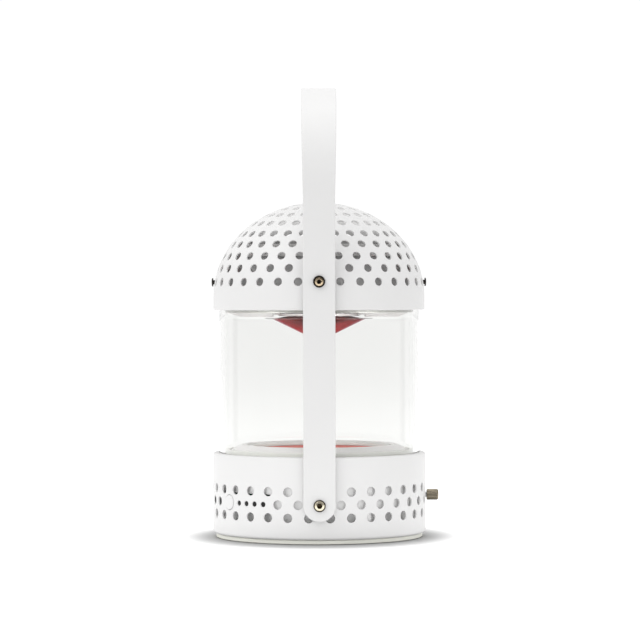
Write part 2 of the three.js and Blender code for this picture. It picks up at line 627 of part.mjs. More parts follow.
function strapHandle() {
  const half = STRAP_WIDTH / 2;
  const side = new THREE.Shape();
  side.moveTo(STRAP_OUTSIDE, BASE_SCREW_HEIGHT);
  side.absarc(0, STRAP_SPRING, STRAP_OUTSIDE, 0, Math.PI, false);
  side.lineTo(-STRAP_OUTSIDE, BASE_SCREW_HEIGHT);
  side.lineTo(-STRAP_INSIDE, BASE_SCREW_HEIGHT);
  side.absarc(0, STRAP_SPRING, STRAP_INSIDE, Math.PI, 0, true);
  side.lineTo(STRAP_INSIDE, BASE_SCREW_HEIGHT);
  const ends = [0, 180].map((azimuth) =>
    radialPin(half, STRAP_INSIDE, STRAP_OUTSIDE, azimuth, BASE_SCREW_HEIGHT, 32));
  const holes = [0, 180].flatMap((azimuth) => [BASE_SCREW_HEIGHT, DOME_SCREW_HEIGHT].map((height) =>
    radialPin(M4_CLEARANCE, STRAP_INSIDE - 2, STRAP_OUTSIDE + 2, azimuth, height, 12)));
  return cut(join([acrossX(side, STRAP_WIDTH).warp(flare), ...ends]), holes);
}

const WASHER_RADIUS = 4.2;
function strapWasher(azimuth) {
  const from = DOME_RADIUS + GAP / 2;
  const to = STRAP_INSIDE - GAP / 2;
  const section = [[M4_CLEARANCE, from], [WASHER_RADIUS, from], [WASHER_RADIUS, to], [M4_CLEARANCE, to]];
  return radial(section, azimuth,
    DOME_SCREW_HEIGHT, 10);
}

// ---------------------------------------------------------------- wiring

// The loudspeaker's lead, from the terminal on its basket down to the connector on the main board.
function speakerLead() {
  const route = new THREE.CatmullRomCurve3([
    new THREE.Vector3(34, 0, 35.2),
    new THREE.Vector3(38, 0, 31),
    new THREE.Vector3(39.5, 0, 22),
    new THREE.Vector3(38, 0, 14),
    new THREE.Vector3(36, 0, 11.6),
  ]);
  const section = new THREE.Shape().absarc(0, 0, 1.1, 0, 2 * Math.PI, false);
  const settings = { extrudePath: route, steps: 10, curveSegments: 4, bevelEnabled: false };
  return new THREE.ExtrudeGeometry(section, settings);
}

// ---------------------------------------------------------------- assembly

const lantern = new THREE.Group();

function place(name, material, body) {
  const geometry = body.isBufferGeometry ? body : geometryOf(body);
  const mesh = new THREE.Mesh(geometry, material);
  mesh.name = name;
  lantern.add(mesh);
}

const BASE_SCREW_LENGTH = 12;
const DOME_SCREW_LENGTH = 12;

place('foot_pad', SILICONE, footPad());
place('bottom_plate', WHITE_PLASTIC, bottomPlate());
BOTTOM_SCREWS.forEach((azimuth, i) => place(`bottom_screw_${i + 1}`, ZINC, bottomScrew(azimuth)));
place('base_shell', PAINT, baseShell());
place('base_frame', WHITE_PLASTIC, baseFrame());
place('main_board', BOARD_GREEN, mainBoard());
place('battery_tray', BLACK_PLASTIC, batteryTray());
place('battery_cell_front', BATTERY_BLUE, batteryCell(-1));
place('battery_cell_rear', BATTERY_BLUE, batteryCell(1));

place('control_board', BOARD_GREEN, controlBoard());
place('charging_jack', BLACK_PLASTIC, chargingJack());
place('power_switch', BLACK_PLASTIC, powerSwitch());
place('power_button', PAINT, powerButton());
place('status_light_pipe', BLACK_PLASTIC, statusLightPipe());
place('dimmer_board', BOARD_GREEN, dimmerBoard());
place('dimmer_pot', ZINC, dimmerPot());
place('control_shaft', ZINC, controlShaft());
place('control_knob', NICKEL, controlKnob());

place('deck', WHITE_PLASTIC, deck());
place('driver_basket', BLACK_PLASTIC, driverBasket());
place('driver_top_plate', ZINC, driverTopPlate());
place('driver_magnet', FERRITE, driverMagnet());
place('driver_yoke', ZINC, driverYoke());
place('voice_coil', COPPER, voiceCoil());
place('diaphragm', RED_PAPER, diaphragm());
place('surround', GREY_RUBBER, surround());
place('centring_spider', LIGHT_YELLOW, centringSpider());
place('speaker_lead', BLACK_PLASTIC, speakerLead());
place('trim_ring', WHITE_PLASTIC, trimRing());

place('lamp_post', STEEL, lampPost());
place('lamp_board', WHITE_PLASTIC, lampBoard());
place('lamp_lens', LIGHT_YELLOW, lampLens());

place('lower_gasket', CLEAR_SILICONE, lowerGasket());
place('glass_chimney', GLASS, glassChimney());
place('upper_gasket', CLEAR_SILICONE, upperGasket());

place('top_ring', WHITE_PLASTIC, topRing());
place('cone_spacer', WHITE_PLASTIC, coneSpacer());
place('cone_washer', BLACK_PLASTIC, coneWasher());
place('cone_bridge', WHITE_PLASTIC, coneBridge());
place('cone_skirt', CLEAR_PLASTIC, coneSkirt());
place('reflector_cone', ROSE_MIRROR, reflectorCone());
place('cone_screw', ZINC, coneScrew());
place('deflector', BLACK_PLASTIC, deflector());
place('deflector_band', WHITE_PLASTIC, deflectorBand());
place('dome', PAINT, dome());

place('strap_handle', PAINT, strapHandle());
for (const [side, azimuth] of [['front', 0], ['rear', 180]]) {
  place(`strap_washer_${side}`, STEEL, strapWasher(azimuth));
  place(`dome_screw_${side}`, STEEL, strapScrew(azimuth, DOME_SCREW_HEIGHT, DOME_SCREW_LENGTH));
  place(`base_screw_${side}`, STEEL, strapScrew(azimuth, BASE_SCREW_HEIGHT, BASE_SCREW_LENGTH));
}
place('dome_screw_right', STEEL, sideScrew(90));
place('dome_screw_left', STEEL, sideScrew(-90));

export default lantern;
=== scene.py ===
"""A portable lantern: perforated dome and drum, glass chimney, loudspeaker, mirror cone and carrying strap.

Lengths in the shape code are millimetres in the row frame, turned into metres when a mesh is made. The front
is -Y, an azimuth is counted from the front towards +X, and the control knob is at 90 degrees.
"""
import math

import bmesh
import bpy
import mathutils
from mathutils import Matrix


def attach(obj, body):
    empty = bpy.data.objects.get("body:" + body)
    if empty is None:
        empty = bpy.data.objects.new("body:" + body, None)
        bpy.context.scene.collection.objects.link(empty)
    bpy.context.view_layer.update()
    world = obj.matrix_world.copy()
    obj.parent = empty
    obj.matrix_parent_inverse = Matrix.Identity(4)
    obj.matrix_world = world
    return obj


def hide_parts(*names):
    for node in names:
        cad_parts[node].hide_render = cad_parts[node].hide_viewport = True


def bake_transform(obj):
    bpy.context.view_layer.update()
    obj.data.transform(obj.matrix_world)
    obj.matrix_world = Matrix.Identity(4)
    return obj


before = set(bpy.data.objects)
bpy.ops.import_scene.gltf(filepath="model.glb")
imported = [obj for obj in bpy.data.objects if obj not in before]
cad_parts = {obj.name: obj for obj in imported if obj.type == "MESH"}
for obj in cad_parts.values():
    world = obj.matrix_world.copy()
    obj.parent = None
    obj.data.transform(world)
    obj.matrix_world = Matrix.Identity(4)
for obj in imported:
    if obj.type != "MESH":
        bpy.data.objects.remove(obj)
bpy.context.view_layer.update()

MM = 0.001
TAU = 2 * math.pi

BASE_RADIUS = 63.5
CONTROLS = 22.7  # height of the drum's middle row of vents, its controls and the strap's lower bolts
DOME_RADIUS = 63.0
DOME_BOLTS = 151.66

# ---------------------------------------------------------------- camera

LOOK_AT = mathutils.Vector((0.0006, 0.0, 0.1290))
CAMERA_DISTANCE = 1.695
CAMERA_HEIGHT = 0.144
CAMERA_AZIMUTH = -0.1
CAMERA_ROLL = -0.12
CAMERA_LENS = 159.5


def make_camera():
    data = bpy.data.cameras.new("camera")
    data.lens = CAMERA_LENS
    data.sensor_width = 36
    data.clip_start = 0.05
    data.clip_end = 60
    camera = bpy.data.objects.new("camera", data)
    bpy.context.scene.collection.objects.link(camera)
    azimuth = math.radians(CAMERA_AZIMUTH)
    camera.location = (CAMERA_DISTANCE * math.sin(azimuth), -CAMERA_DISTANCE * math.cos(azimuth),
                       CAMERA_HEIGHT)
    aim = (LOOK_AT - camera.location).to_track_quat("-Z", "Y")
    roll = mathutils.Quaternion((0, 0, 1), math.radians(CAMERA_ROLL))
    camera.rotation_mode = "QUATERNION"
    camera.rotation_quaternion = aim @ roll
    bpy.context.scene.camera = camera


make_camera()

# ---------------------------------------------------------------- material nodes


class Tree:
    """A node tree that nodes are added to, with their inputs given as values or as other nodes' outputs."""

    def __init__(self, tree):
        self.tree = tree

    def link(self, source, target):
        self.tree.links.new(source, target)

    def add(self, kind, inputs=(), **settings):
        node = self.tree.nodes.new(kind)
        for key, value in settings.items():
            setattr(node, key, value)
        for key, value in dict(inputs).items():
            if isinstance(value, bpy.types.NodeSocket):
                self.link(value, node.inputs[key])
            else:
                node.inputs[key].default_value = value
        return node

    def maths(self, operation, a, b):
        return self.add("ShaderNodeMath", {0: a, 1: b}, operation=operation).outputs["Value"]

    def vector(self, operation, a, b=(0, 0, 0)):
        return self.add("ShaderNodeVectorMath", {0: a, 1: b}, operation=operation).outputs

    def mix(self, factor, a, b):
        return self.add("ShaderNodeMix", {"Factor": factor, "A": a, "B": b}).outputs["Result"]

    def split(self, place):
        return self.add("ShaderNodeSeparateXYZ", {"Vector": place}).outputs


class Nodes(Tree):
    """A material's node tree, with a Principled shader and object coordinates to start from."""

    def __init__(self, name):
        self.material = bpy.data.materials.new(name)
        self.material.use_nodes = True
        super().__init__(self.material.node_tree)
        self.shader = self.tree.nodes["Principled BSDF"]
        self.place = self.add("ShaderNodeTexCoord").outputs["Object"]

    def set(self, **values):
        """Sets Principled sockets, named with underscores for spaces."""
        for key, value in values.items():
            self.shader.inputs[key.replace("_", " ")].default_value = value

    def noise(self, scale, detail=2.0, roughness=0.5, stretch=None):
        """Noise at a scale in features per metre, optionally stretched along the axes."""
        place = self.place
        if stretch:
            place = self.add("ShaderNodeMapping", {"Scale": stretch, "Vector": place}).outputs["Vector"]
        inputs = {"Scale": scale, "Detail": detail, "Roughness": roughness, "Vector": place}
        return self.add("ShaderNodeTexNoise", inputs).outputs["Fac"]

    def ramp(self, value, stops):
        """A colour ramp of (position, colour) stops."""
        node = self.add("ShaderNodeValToRGB")
        elements = node.color_ramp.elements
        while len(elements) < len(stops):
            elements.new(0.5)
        for element, (position, colour) in zip(elements, stops):
            element.position = position
            element.color = (*colour, 1)
        self.link(value, node.inputs["Fac"])
        return node.outputs["Color"]

    def spread(self, value, low, high):
        """A 0-1 value mapped to low-high."""
        inputs = {"Value": value, "To Min": low, "To Max": high}
        return self.add("ShaderNodeMapRange", inputs).outputs["Result"]

    def bump(self, height, distance, strength=1.0, below=None):
        inputs = {"Height": height, "Distance": distance, "Strength": strength}
        if below is not None:
            inputs["Normal"] = below
        return self.add("ShaderNodeBump", inputs).outputs["Normal"]

    def tinted(self, a, b):
        """One colour multiplied by another."""
        node = self.add("ShaderNodeMix", data_type="RGBA", blend_type="MULTIPLY")
        node.inputs["Factor"].default_value = 1.0
        self.link(a, node.inputs["A"])
        self.link(b, node.inputs["B"])
        return node.outputs["Result"]

    def colour(self, source):
        self.link(source, self.shader.inputs["Base Color"])

    def rough(self, source):
        self.link(source, self.shader.inputs["Roughness"])

    def normal(self, source):
        self.link(source, self.shader.inputs["Normal"])


def grey(level, warmth=0.0):
    return (level * (1 + warmth), level, level * (1 - warmth))


def scaled(colour, factor):
    return tuple(channel * factor for channel in colour)


def moulded(name, colour, roughness, variation=0.04, **extra):
    """Moulded plastic or rubber: a fine spark-eroded grain, faint mottling and uneven gloss."""
    n = Nodes(name)
    mottling = n.noise(60, 4)
    n.colour(n.ramp(mottling, [(0.35, scaled(colour, 1 - variation)), (0.65, colour)]))
    n.rough(n.spread(n.noise(220, 3), roughness - 0.06, roughness + 0.08))
    n.normal(n.bump(n.noise(900, 3), 0.00002, 0.6))
    n.set(**extra)
    return n.material


def powder_coat(name, level):
    """White powder coat on steel: orange peel over a finer texture, with handling haze in the gloss."""
    n = Nodes(name)
    haze = n.noise(22, 5, 0.6)
    n.colour(n.ramp(haze, [(0.3, grey(level * 0.985, 0.004)), (0.7, grey(level, 0.003))]))
    n.rough(n.spread(n.noise(70, 4), 0.38, 0.52))
    peel = n.bump(n.noise(420, 2), 0.00003, 0.5)
    n.normal(n.bump(n.noise(1500, 3), 0.000012, 0.5, peel))
    n.set(Specular_IOR_Level=0.4, Coat_Weight=0.08, Coat_Roughness=0.3)
    return n.material


def plated(name, dark, light, roughness, streak=None):
    """Plated or blackened metal: tone wanders between dark and light, with scratches along the streaks."""
    n = Nodes(name)
    tone = n.noise(350, 4, 0.6, streak)
    n.colour(n.ramp(tone, [(0.3, dark), (0.7, light)]))
    n.rough(n.spread(n.noise(500, 3), roughness - 0.05, roughness + 0.12))
    n.normal(n.bump(n.noise(1200, 2, 0.5, streak), 0.00001, 0.5))
    n.set(Metallic=1.0)
    return n.material


def letting_light_in(n):
    """Lamps' rays pass straight through this material, as they nearly do through clear glass."""
    shadow = n.add("ShaderNodeLightPath").outputs["Is Shadow Ray"]
    through = n.add("ShaderNodeBsdfTransparent").outputs["BSDF"]
    mix = n.add("ShaderNodeMixShader", {"Fac": shadow, 1: n.shader.outputs["BSDF"], 2: through})
    n.link(mix.outputs["Shader"], n.tree.nodes["Material Output"].inputs["Surface"])


def clear(name, tint, roughness=0.0, ripple=0.0):
    """Clear glass or plastic, with the faint ripple of a drawn tube."""
    n = Nodes(name)
    n.colour(n.ramp(n.noise(8, 2), [(0.3, scaled(tint, 0.995)), (0.7, tint)]))
    n.set(Transmission_Weight=1.0, Roughness=roughness, IOR=1.45, Specular_IOR_Level=0.3)
    if ripple:
        n.normal(n.bump(n.noise(30, 1, 0.4, (1.5, 1.5, 0.12)), ripple, 0.4))
    letting_light_in(n)
    return n.material


def pressed_paper(name, colour):
    """A loudspeaker cone: pulp fibres in a dyed matt paper."""
    n = Nodes(name)
    pulp = n.noise(900, 6, 0.7)
    n.colour(n.ramp(pulp, [(0.25, scaled(colour, 0.8)), (0.75, colour)]))
    n.rough(n.spread(n.noise(300, 3), 0.62, 0.8))
    n.normal(n.bump(n.noise(700, 5, 0.7, (1, 1, 3)), 0.00006, 0.7))
    return n.material


PAINTED_RING_REACH = 4.0  # how far from a screw's middle its painted rings of light and shade reach


def ringed_head_painted_light(name, height, inner, outer, dark, light):
    """A screw head painted in rings about the front-to-back axis: the light ring between two radii is a painted
    highlight across the crown, and the dark inside and outside it is painted shade in the socket and round the
    head.
    """
    n = Nodes(name)
    offset = n.vector("SUBTRACT", n.place, (0, 0, height * MM))["Vector"]
    flat = n.vector("MULTIPLY", offset, (1, 0, 1))["Vector"]
    wander = n.spread(n.noise(900, 3), -0.0003, 0.0003)
    reach = n.maths("ADD", n.vector("LENGTH", flat)["Value"], wander)
    share = n.maths("DIVIDE", reach, PAINTED_RING_REACH * MM)
    inner, outer = inner / PAINTED_RING_REACH, outer / PAINTED_RING_REACH
    # Painted highlight between the two radii, painted shade inside and outside them.
    n.colour(n.ramp(share, [(inner - 0.03, dark), (inner + 0.03, light), (outer - 0.04, light),
                            (outer + 0.04, dark)]))
    n.rough(n.spread(n.noise(500, 3), 0.2, 0.36))
    n.normal(n.bump(n.noise(1200, 2), 0.00001, 0.5))
    n.set(Metallic=1.0)
    return n.material


def mirror(name, tip, face, rim, bevel):
    """A red mirror: pink at its tip and darker towards its rim, painted reflections banded by height, with
    uneven plating and the faint waviness of plated plastic. Its sloping top edge is unplated and painted red,
    also a painted reflection."""
    n = Nodes(name)
    span = {"Value": n.split(n.place)["Z"], "From Min": 116.5 * MM, "From Max": 131.5 * MM}
    height = n.add("ShaderNodeMapRange", span).outputs["Result"]
    # Painted reflections: pink near the tip, dark near the rim, red on the unplated top edge.
    painted_reflection_bands = n.ramp(height, [(0.0, tip), (0.2, tip), (0.4, face), (0.82, rim), (0.88, rim), (0.93, bevel)])
    blotches = n.ramp(n.noise(70, 2, 0.5, (1, 1, 0.4)), [(0.4, grey(0.55)), (0.6, grey(1.0))])
    n.colour(n.tinted(painted_reflection_bands, blotches))
    n.rough(n.spread(n.noise(200, 3), 0.03, 0.09))
    n.normal(n.bump(n.noise(60, 2), 0.00006, 0.4))
    plating = n.ramp(height, [(0.84, grey(1.0)), (0.93, grey(0.0))])
    n.link(plating, n.shader.inputs["Metallic"])
    n.set(Specular_Tint=(0.55, 0.16, 0.22, 1))
    return n.material


def wrapped(name, colour):
    """A cell's shrink sleeve: glossy film with faint wrinkles round the can."""
    n = Nodes(name)
    n.colour(n.ramp(n.noise(90, 3), [(0.4, scaled(colour, 0.9)), (0.6, colour)]))
    n.rough(n.spread(n.noise(160, 3), 0.22, 0.36))
    n.normal(n.bump(n.noise(120, 4, 0.6, (4, 1, 1)), 0.00008, 0.5))
    return n.material


def board(name):
    """Green solder mask with the shadow of copper tracks under it."""
    n = Nodes(name)
    cells = n.add("ShaderNodeTexVoronoi", {"Scale": 260, "Vector": n.place}, feature="DISTANCE_TO_EDGE")
    tracks = cells.outputs["Distance"]
    n.colour(n.ramp(tracks, [(0.02, (0.05, 0.2, 0.1)), (0.08, (0.03, 0.13, 0.07))]))
    n.rough(n.spread(n.noise(300, 2), 0.3, 0.42))
    n.normal(n.bump(tracks, 0.00003, 0.4))
    return n.material


PAINT = powder_coat("powder_coat", 0.73)
STRAP_PAINT = powder_coat("strap_powder_coat", 0.71)
# The dome's inside: the white powder coat painted darker, painted shade inside the dome.
INNER_COAT_PAINTED_SHADE = powder_coat("inner_coat_painted_shade", 0.5)
# The drum's inside: the white powder coat painted brighter, painted light inside the drum.
INNER_COAT_PAINTED_LIGHT = powder_coat("inner_coat_painted_light", 0.92)
WHITE_PLASTIC = moulded("white_plastic", grey(0.88, 0.01), 0.45)
# The white plastic painted brighter for the base frame seen through the vents: painted light.
FRAME_PLASTIC_PAINTED_LIGHT = moulded("frame_plastic_painted_light", grey(0.96, 0.004), 0.55)
TRIM_PLASTIC = moulded("trim_plastic", grey(0.9, 0.008), 0.4)
FOOT_SILICONE = moulded("foot_silicone", (0.93, 0.93, 0.85), 0.6)
GASKET = moulded("gasket_silicone", (0.90, 0.905, 0.86), 0.45)
BLACK_PLASTIC = moulded("black_plastic", grey(0.018), 0.4, Specular_IOR_Level=0.3)
INDICATOR = moulded("indicator_plastic", grey(0.006), 0.3, Specular_IOR_Level=0.25)
SURROUND_RUBBER = moulded("surround_rubber", (0.84, 0.86, 0.83), 0.62, variation=0.08)
CUP_PLASTIC = moulded("cup_plastic", grey(0.66), 0.45)
FERRITE = moulded("ferrite", grey(0.045), 0.7, variation=0.2)
LENS = moulded("lamp_lens", (0.85, 0.74, 0.36), 0.25, Coat_Weight=0.5)
GLASS = clear("chimney_glass", (0.965, 0.967, 0.958), ripple=0.00002)
CLEAR_PLASTIC = clear("clear_plastic", (0.98, 0.98, 0.98), 0.02)
CONE_PAPER = pressed_paper("cone_paper", (0.78, 0.17, 0.13))
SPIDER_CLOTH = pressed_paper("spider_cloth", (0.55, 0.42, 0.16))
ROSE_MIRROR = mirror("rose_mirror", (0.62, 0.2, 0.26), (0.50, 0.045, 0.05), (0.24, 0.045, 0.035),
                     (0.66, 0.07, 0.05))
DARK_SCREW = plated("blackened_steel", (0.012, 0.01, 0.009), (0.05, 0.045, 0.04), 0.3)
CAP_SCREW = ringed_head_painted_light("screw_painted_highlight", DOME_BOLTS, 1.3, 2.4, (0.012, 0.009, 0.006), (0.55, 0.44, 0.3))
DRUM_SCREW = ringed_head_painted_light("nickel_screw", CONTROLS, 1.55, 2.75, (0.03, 0.022, 0.012), (0.86, 0.78, 0.6))
SPACER_STEEL = plated("spacer_steel", (0.5, 0.48, 0.44), (0.72, 0.7, 0.66), 0.25)
KNOB_METAL = plated("dark_nickel", (0.10, 0.085, 0.06), (0.38, 0.33, 0.25), 0.2, (0.3, 6, 6))
ZINC = plated("zinc", (0.42, 0.42, 0.43), (0.6, 0.6, 0.6), 0.34)
ALUMINIUM = plated("aluminium", (0.62, 0.62, 0.62), (0.8, 0.8, 0.79), 0.3, (1, 1, 12))
COPPER = plated("copper", (0.45, 0.19, 0.08), (0.72, 0.36, 0.2), 0.35, (1, 1, 14))
CELL_WRAP = wrapped("cell_wrap", (0.05, 0.18, 0.38))
BOARD = board("solder_mask")

# ---------------------------------------------------------------- meshes


def mesh_piece(name, verts, faces, material, body, nodes, sharp=38.0):
    """A mesh in millimetres becomes a smooth-shaded piece that replaces its CAD nodes and rides on a body, if
    one is named."""
    data = bpy.data.meshes.new(name)
    data.from_pydata([tuple(c * MM for c in v) for v in verts], [], faces)
    data.validate()
    data.polygons.foreach_set("use_smooth", [True] * len(data.polygons))
    data.set_sharp_from_angle(angle=math.radians(sharp))
    data.materials.append(material)
    piece = bpy.data.objects.new(name, data)
    bpy.context.scene.collection.objects.link(piece)
    weighted = piece.modifiers.new("weighted", "WEIGHTED_NORMAL")
    weighted.keep_sharp = True
    if body:
        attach(piece, body)
    if nodes:
        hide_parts(*nodes)
    return piece


def polar(radius, azimuth, z):
    """A point at an azimuth in degrees from the front."""
    a = math.radians(azimuth)
    return (radius * math.sin(a), -radius * math.cos(a), z)


def rounded(profile, radius, steps=4):
    """A closed [radius, height] profile with its corners off the axis rounded."""
    out = []
    count = len(profile)
    for i, point in enumerate(profile):
        here = mathutils.Vector(point)
        before = mathutils.Vector(profile[i - 1]) - here
        after = mathutils.Vector(profile[(i + 1) % count]) - here
        if here.x < 1e-6 or before.length < 1e-6 or after.length < 1e-6:
            out.append(tuple(here))
            continue
        half = before.angle(after) / 2
        if half > math.radians(80):
            out.append(tuple(here))
            continue
        reach = min(radius / math.tan(half), before.length * 0.45, after.length * 0.45)
        start = here + before.normalized() * reach
        end = here + after.normalized() * reach
        for k in range(steps + 1):
            t = k / steps
            out.append(tuple(start.lerp(here, t).lerp(here.lerp(end, t), t)))
    return out


def lathe(profile, segments=128):
    """Vertices and faces of a profile turned about Z. A profile that starts on the axis ends on it."""
    verts, rows = [], []
    for r, z in profile:
        if r < 1e-6:
            rows.append([len(verts)])
            verts.append((0.0, 0.0, z))
        else:
            rows.append([len(verts) + k for k in range(segments)])
            verts.extend(polar(r, 360 * k / segments, z) for k in range(segments))
    faces = []
    closed = profile[0][0] > 1e-6
    for i in range(len(rows) if closed else len(rows) - 1):
        low, high = rows[i], rows[(i + 1) % len(rows)]
        for k in range(segments):
            m = (k + 1) % segments
            quad = [low[k % len(low)], low[m % len(low)], high[m % len(high)], high[k % len(high)]]
            face = [v for n, v in enumerate(quad) if v != quad[n - 1]]
            if len(face) > 2:
                faces.append(face)
    area = sum(p[0] * q[1] - q[0] * p[1] for p, q in zip(profile, profile[1:] + profile[:1]))
    if area < 0:
        faces = [face[::-1] for face in faces]
    return verts, faces


def turned(name, profile, radius, material, nodes, body="housing", segments=128):
    """A turned piece with its corners rounded to a radius."""
    verts, faces = lathe(rounded(profile, radius), segments)
    mesh_piece(name, verts, faces, material, body, nodes)


def outward(verts, azimuth, height):
    """Verts made about Z, turned so that their Z points outwards at an azimuth and height."""
    a = math.radians(azimuth)
    turn = mathutils.Matrix.Rotation(a, 4, "Z") @ mathutils.Matrix.Translation((0, 0, height))
    turn = turn @ mathutils.Matrix.Rotation(math.pi / 2, 4, "X")
    return [tuple(turn @ mathutils.Vector(v)) for v in verts]


# ---------------------------------------------------------------- perforated sheet metal

DOME_SPRING = 143.3
DOME_RISE = 55.9
DOME_BOTTOM = 135.1
VENT_SIDES = 24
VENT_LIP = 0.28
LIGHT_RADIUS = 1.5
LIGHT_SIDES = 14


class Skin:
    """A surface of revolution with meridians outside and inside, each a function from a parameter to a radius
    and a height. It is charted on a flat annulus, so that vents are cut in it by a flat triangulation."""

    def __init__(self, outside, inside, locate, start):
        self.outside = outside
        self.inside = inside
        self.locate = locate
        self.start = start

    def normal(self, p):
        (r0, z0), (r1, z1) = self.outside(p - 0.05), self.outside(p + 0.05)
        dr, dz = r1 - r0, z1 - z0
        size = math.hypot(dr, dz)
        return (-dz / size, dr / size) if self.start == 0 else (dz / size, -dr / size)

    def along(self, p, sign):
        """The unit [radius, height] step that leaves the sheet at its edge."""
        (r0, z0), (r1, z1) = self.outside(p - sign * 0.02), self.outside(p)
        size = math.hypot(r1 - r0, z1 - z0)
        return ((r1 - r0) / size, (z1 - z0) / size)

    def chart(self, p, azimuth):
        a = math.radians(azimuth)
        return ((self.start + p) * math.sin(a), (self.start + p) * math.cos(a))


def direction(pair, azimuth):
    return mathutils.Vector(polar(pair[0], azimuth, pair[1]))


def perforated(name, skin, rings, fills, vents, materials, nodes):
    """Sheet metal with round vents: each has a small rounded lip outside, and a straight wall behind it.

    rings are (parameter, count) circles of vertices, the first and last being the sheet's edges; fills are
    extra (parameter, azimuth) vertices; vents are (parameter, azimuth, radius); materials are the outside's
    and the inside's."""
    places, owner, edges = [], [], []
    centres = [(direction(skin.outside(p), azimuth), radius) for p, azimuth, radius in vents]

    def circle(points, who):
        first = len(places)
        places.extend(points)
        owner.extend([who] * len(points))
        loop = list(range(first, len(places)))
        edges.extend((loop[k - 1], loop[k]) for k in range(len(loop)))
        return loop

    def clear_of_vents(place):
        spot = direction(skin.outside(place[0]), place[1])
        return all((spot - centre).length > radius + VENT_LIP + 0.5 for centre, radius in centres)

    around = [[(p, 360 * k / count) for k in range(count)] for p, count in rings]
    loops = [circle(around[0], -2) if rings[0][1] > 1 else [], circle(around[-1], -1)]
    loose = [place for ring in around[1:-1] for place in ring] + fills
    if rings[0][1] == 1:
        loose.append(around[0][0])
    loose = [place for place in loose if clear_of_vents(place)]
    places += loose
    owner += [-1] * len(loose)
    holes = []
    for h, (p, azimuth, radius) in enumerate(vents):
        centre = direction(skin.outside(p), azimuth)
        normal = direction(skin.normal(p), azimuth).normalized()
        across = mathutils.Vector(polar(1, azimuth + 90, 0))
        along = normal.cross(across)
        sides = VENT_SIDES if radius > LIGHT_RADIUS else LIGHT_SIDES
        rims = [across * math.cos(TAU * k / sides) + along * math.sin(TAU * k / sides) for k in range(sides)]
        spots = [skin.locate(centre + rim * (radius + VENT_LIP)) for rim in rims]
        holes.append((circle(spots, h), normal, rims))

    flat = [mathutils.Vector(skin.chart(*place)) for place in places]
    result = mathutils.geometry.delaunay_2d_cdt(flat, edges, [], 0, 1e-7)
    origin = [ids[0] for ids in result[3]]
    verts = [direction(skin.outside(p), a) for p, a in places]
    verts += [direction(skin.inside(p), a) for p, a in places]
    out_normal = [direction(skin.normal(p), a).normalized() for p, a in places]
    inner = len(places)

    faces, normals, shades = [], [], []

    def face(ids, ns, shade=0):
        a, b, c = (verts[i] for i in ids[:3])
        if (b - a).cross(c - a).dot(ns[0] + ns[1] + ns[2]) < 0:
            ids, ns = ids[::-1], ns[::-1]
        faces.append(ids)
        normals.extend(ns)
        shades.append(shade)

    for tri in result[2]:
        ids = [origin[i] for i in tri]
        who = {owner[i] for i in ids}
        if len(who) == 1 and who != {-1}:
            continue
        face(ids, [out_normal[i] for i in ids])
        face([i + inner for i in ids], [-out_normal[i] for i in ids], 1)

    for loop, normal, rims in holes:
        sides = len(loop)
        first = len(verts)
        middle = first + sides
        for depth in (VENT_LIP, 0.3 * VENT_LIP):
            verts += [verts[place] - (rim + normal) * depth for rim, place in zip(rims, loop)]
        for k in range(sides):
            m = (k + 1) % sides
            lean = [(normal * 0.7 - rims[i] * 0.7).normalized() for i in (k, m)]
            wall = [-rims[k], -rims[m]]
            skins = [out_normal[loop[k]], out_normal[loop[m]]]
            face([loop[k], loop[m], middle + m, middle + k], [skins[0], skins[1], lean[1], lean[0]])
            face([middle + k, middle + m, first + m, first + k], [lean[0], lean[1], wall[1], wall[0]])
            face([first + k, first + m, loop[m] + inner, loop[k] + inner], wall + wall[::-1])

    for loop, sign in ((loops[0], -1), (loops[-1], 1)):
        for k in range(len(loop)):
            m = (k + 1) % len(loop)
            quad = [loop[k], loop[m], loop[m] + inner, loop[k] + inner]
            away = [direction(skin.along(places[i][0], sign), places[i][1]) for i in (loop[k], loop[m])]
            face(quad, away + away[::-1])

    data = bpy.data.meshes.new(name)
    data.from_pydata([tuple(v * MM) for v in verts], [], faces)
    data.polygons.foreach_set("use_smooth", [True] * len(data.polygons))
    data.normals_split_custom_set([tuple(n) for n in normals])
    for material in materials:
        data.materials.append(material)
    data.polygons.foreach_set("material_index", shades)
    piece = bpy.data.objects.new(name, data)
    bpy.context.scene.collection.objects.link(piece)
    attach(piece, "housing")
    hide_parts(*nodes)


DOME_WALL = 1.1
# Each row of vents: its degrees up the dome's ellipse, how many it has, and whether it is half a pitch round.
DOME_ROWS = [(8.6, 32, 0), (17.0, 32, 1), (24.9, 32, 0), (33.1, 32, 1), (41.1, 32, 0),
             (50.2, 28, 1), (59.1, 24, 0), (67.7, 16, 1), (76.0, 12, 0), (84.5, 4, 1)]
RIM_EDGE = 0.7
DOME_VENT_RADIUS = 2.4
BOLT_HOLE = 2.2
SIDE_BOLT_HOLE = 1.7


def dome_meridian(radius, rise, edge):
    """The parameter is degrees from the crown, and millimetres below the spring line after 90."""
    def point(p):
        if p <= 90:
            t = math.radians(90 - p)
            return (radius * math.cos(t), DOME_SPRING + rise * math.sin(t))
        z = DOME_SPRING - (p - 90)
        low = DOME_BOTTOM + edge
        if z >= low:
            return (radius, z)
        sink = (low - z) / edge if edge else 0
        return (radius - edge * (1 - math.sqrt(max(0.0, 1 - sink * sink))), z)
    return point


def dome_locate(point):
    azimuth = math.degrees(math.atan2(point.x, -point.y))
    r = math.hypot(point.x, point.y)
    if point.z < DOME_SPRING:
        return (90 + DOME_SPRING - point.z, azimuth)
    t = math.degrees(math.atan2((point.z - DOME_SPRING) / DOME_RISE, r / DOME_RADIUS))
    return (90 - t, azimuth)


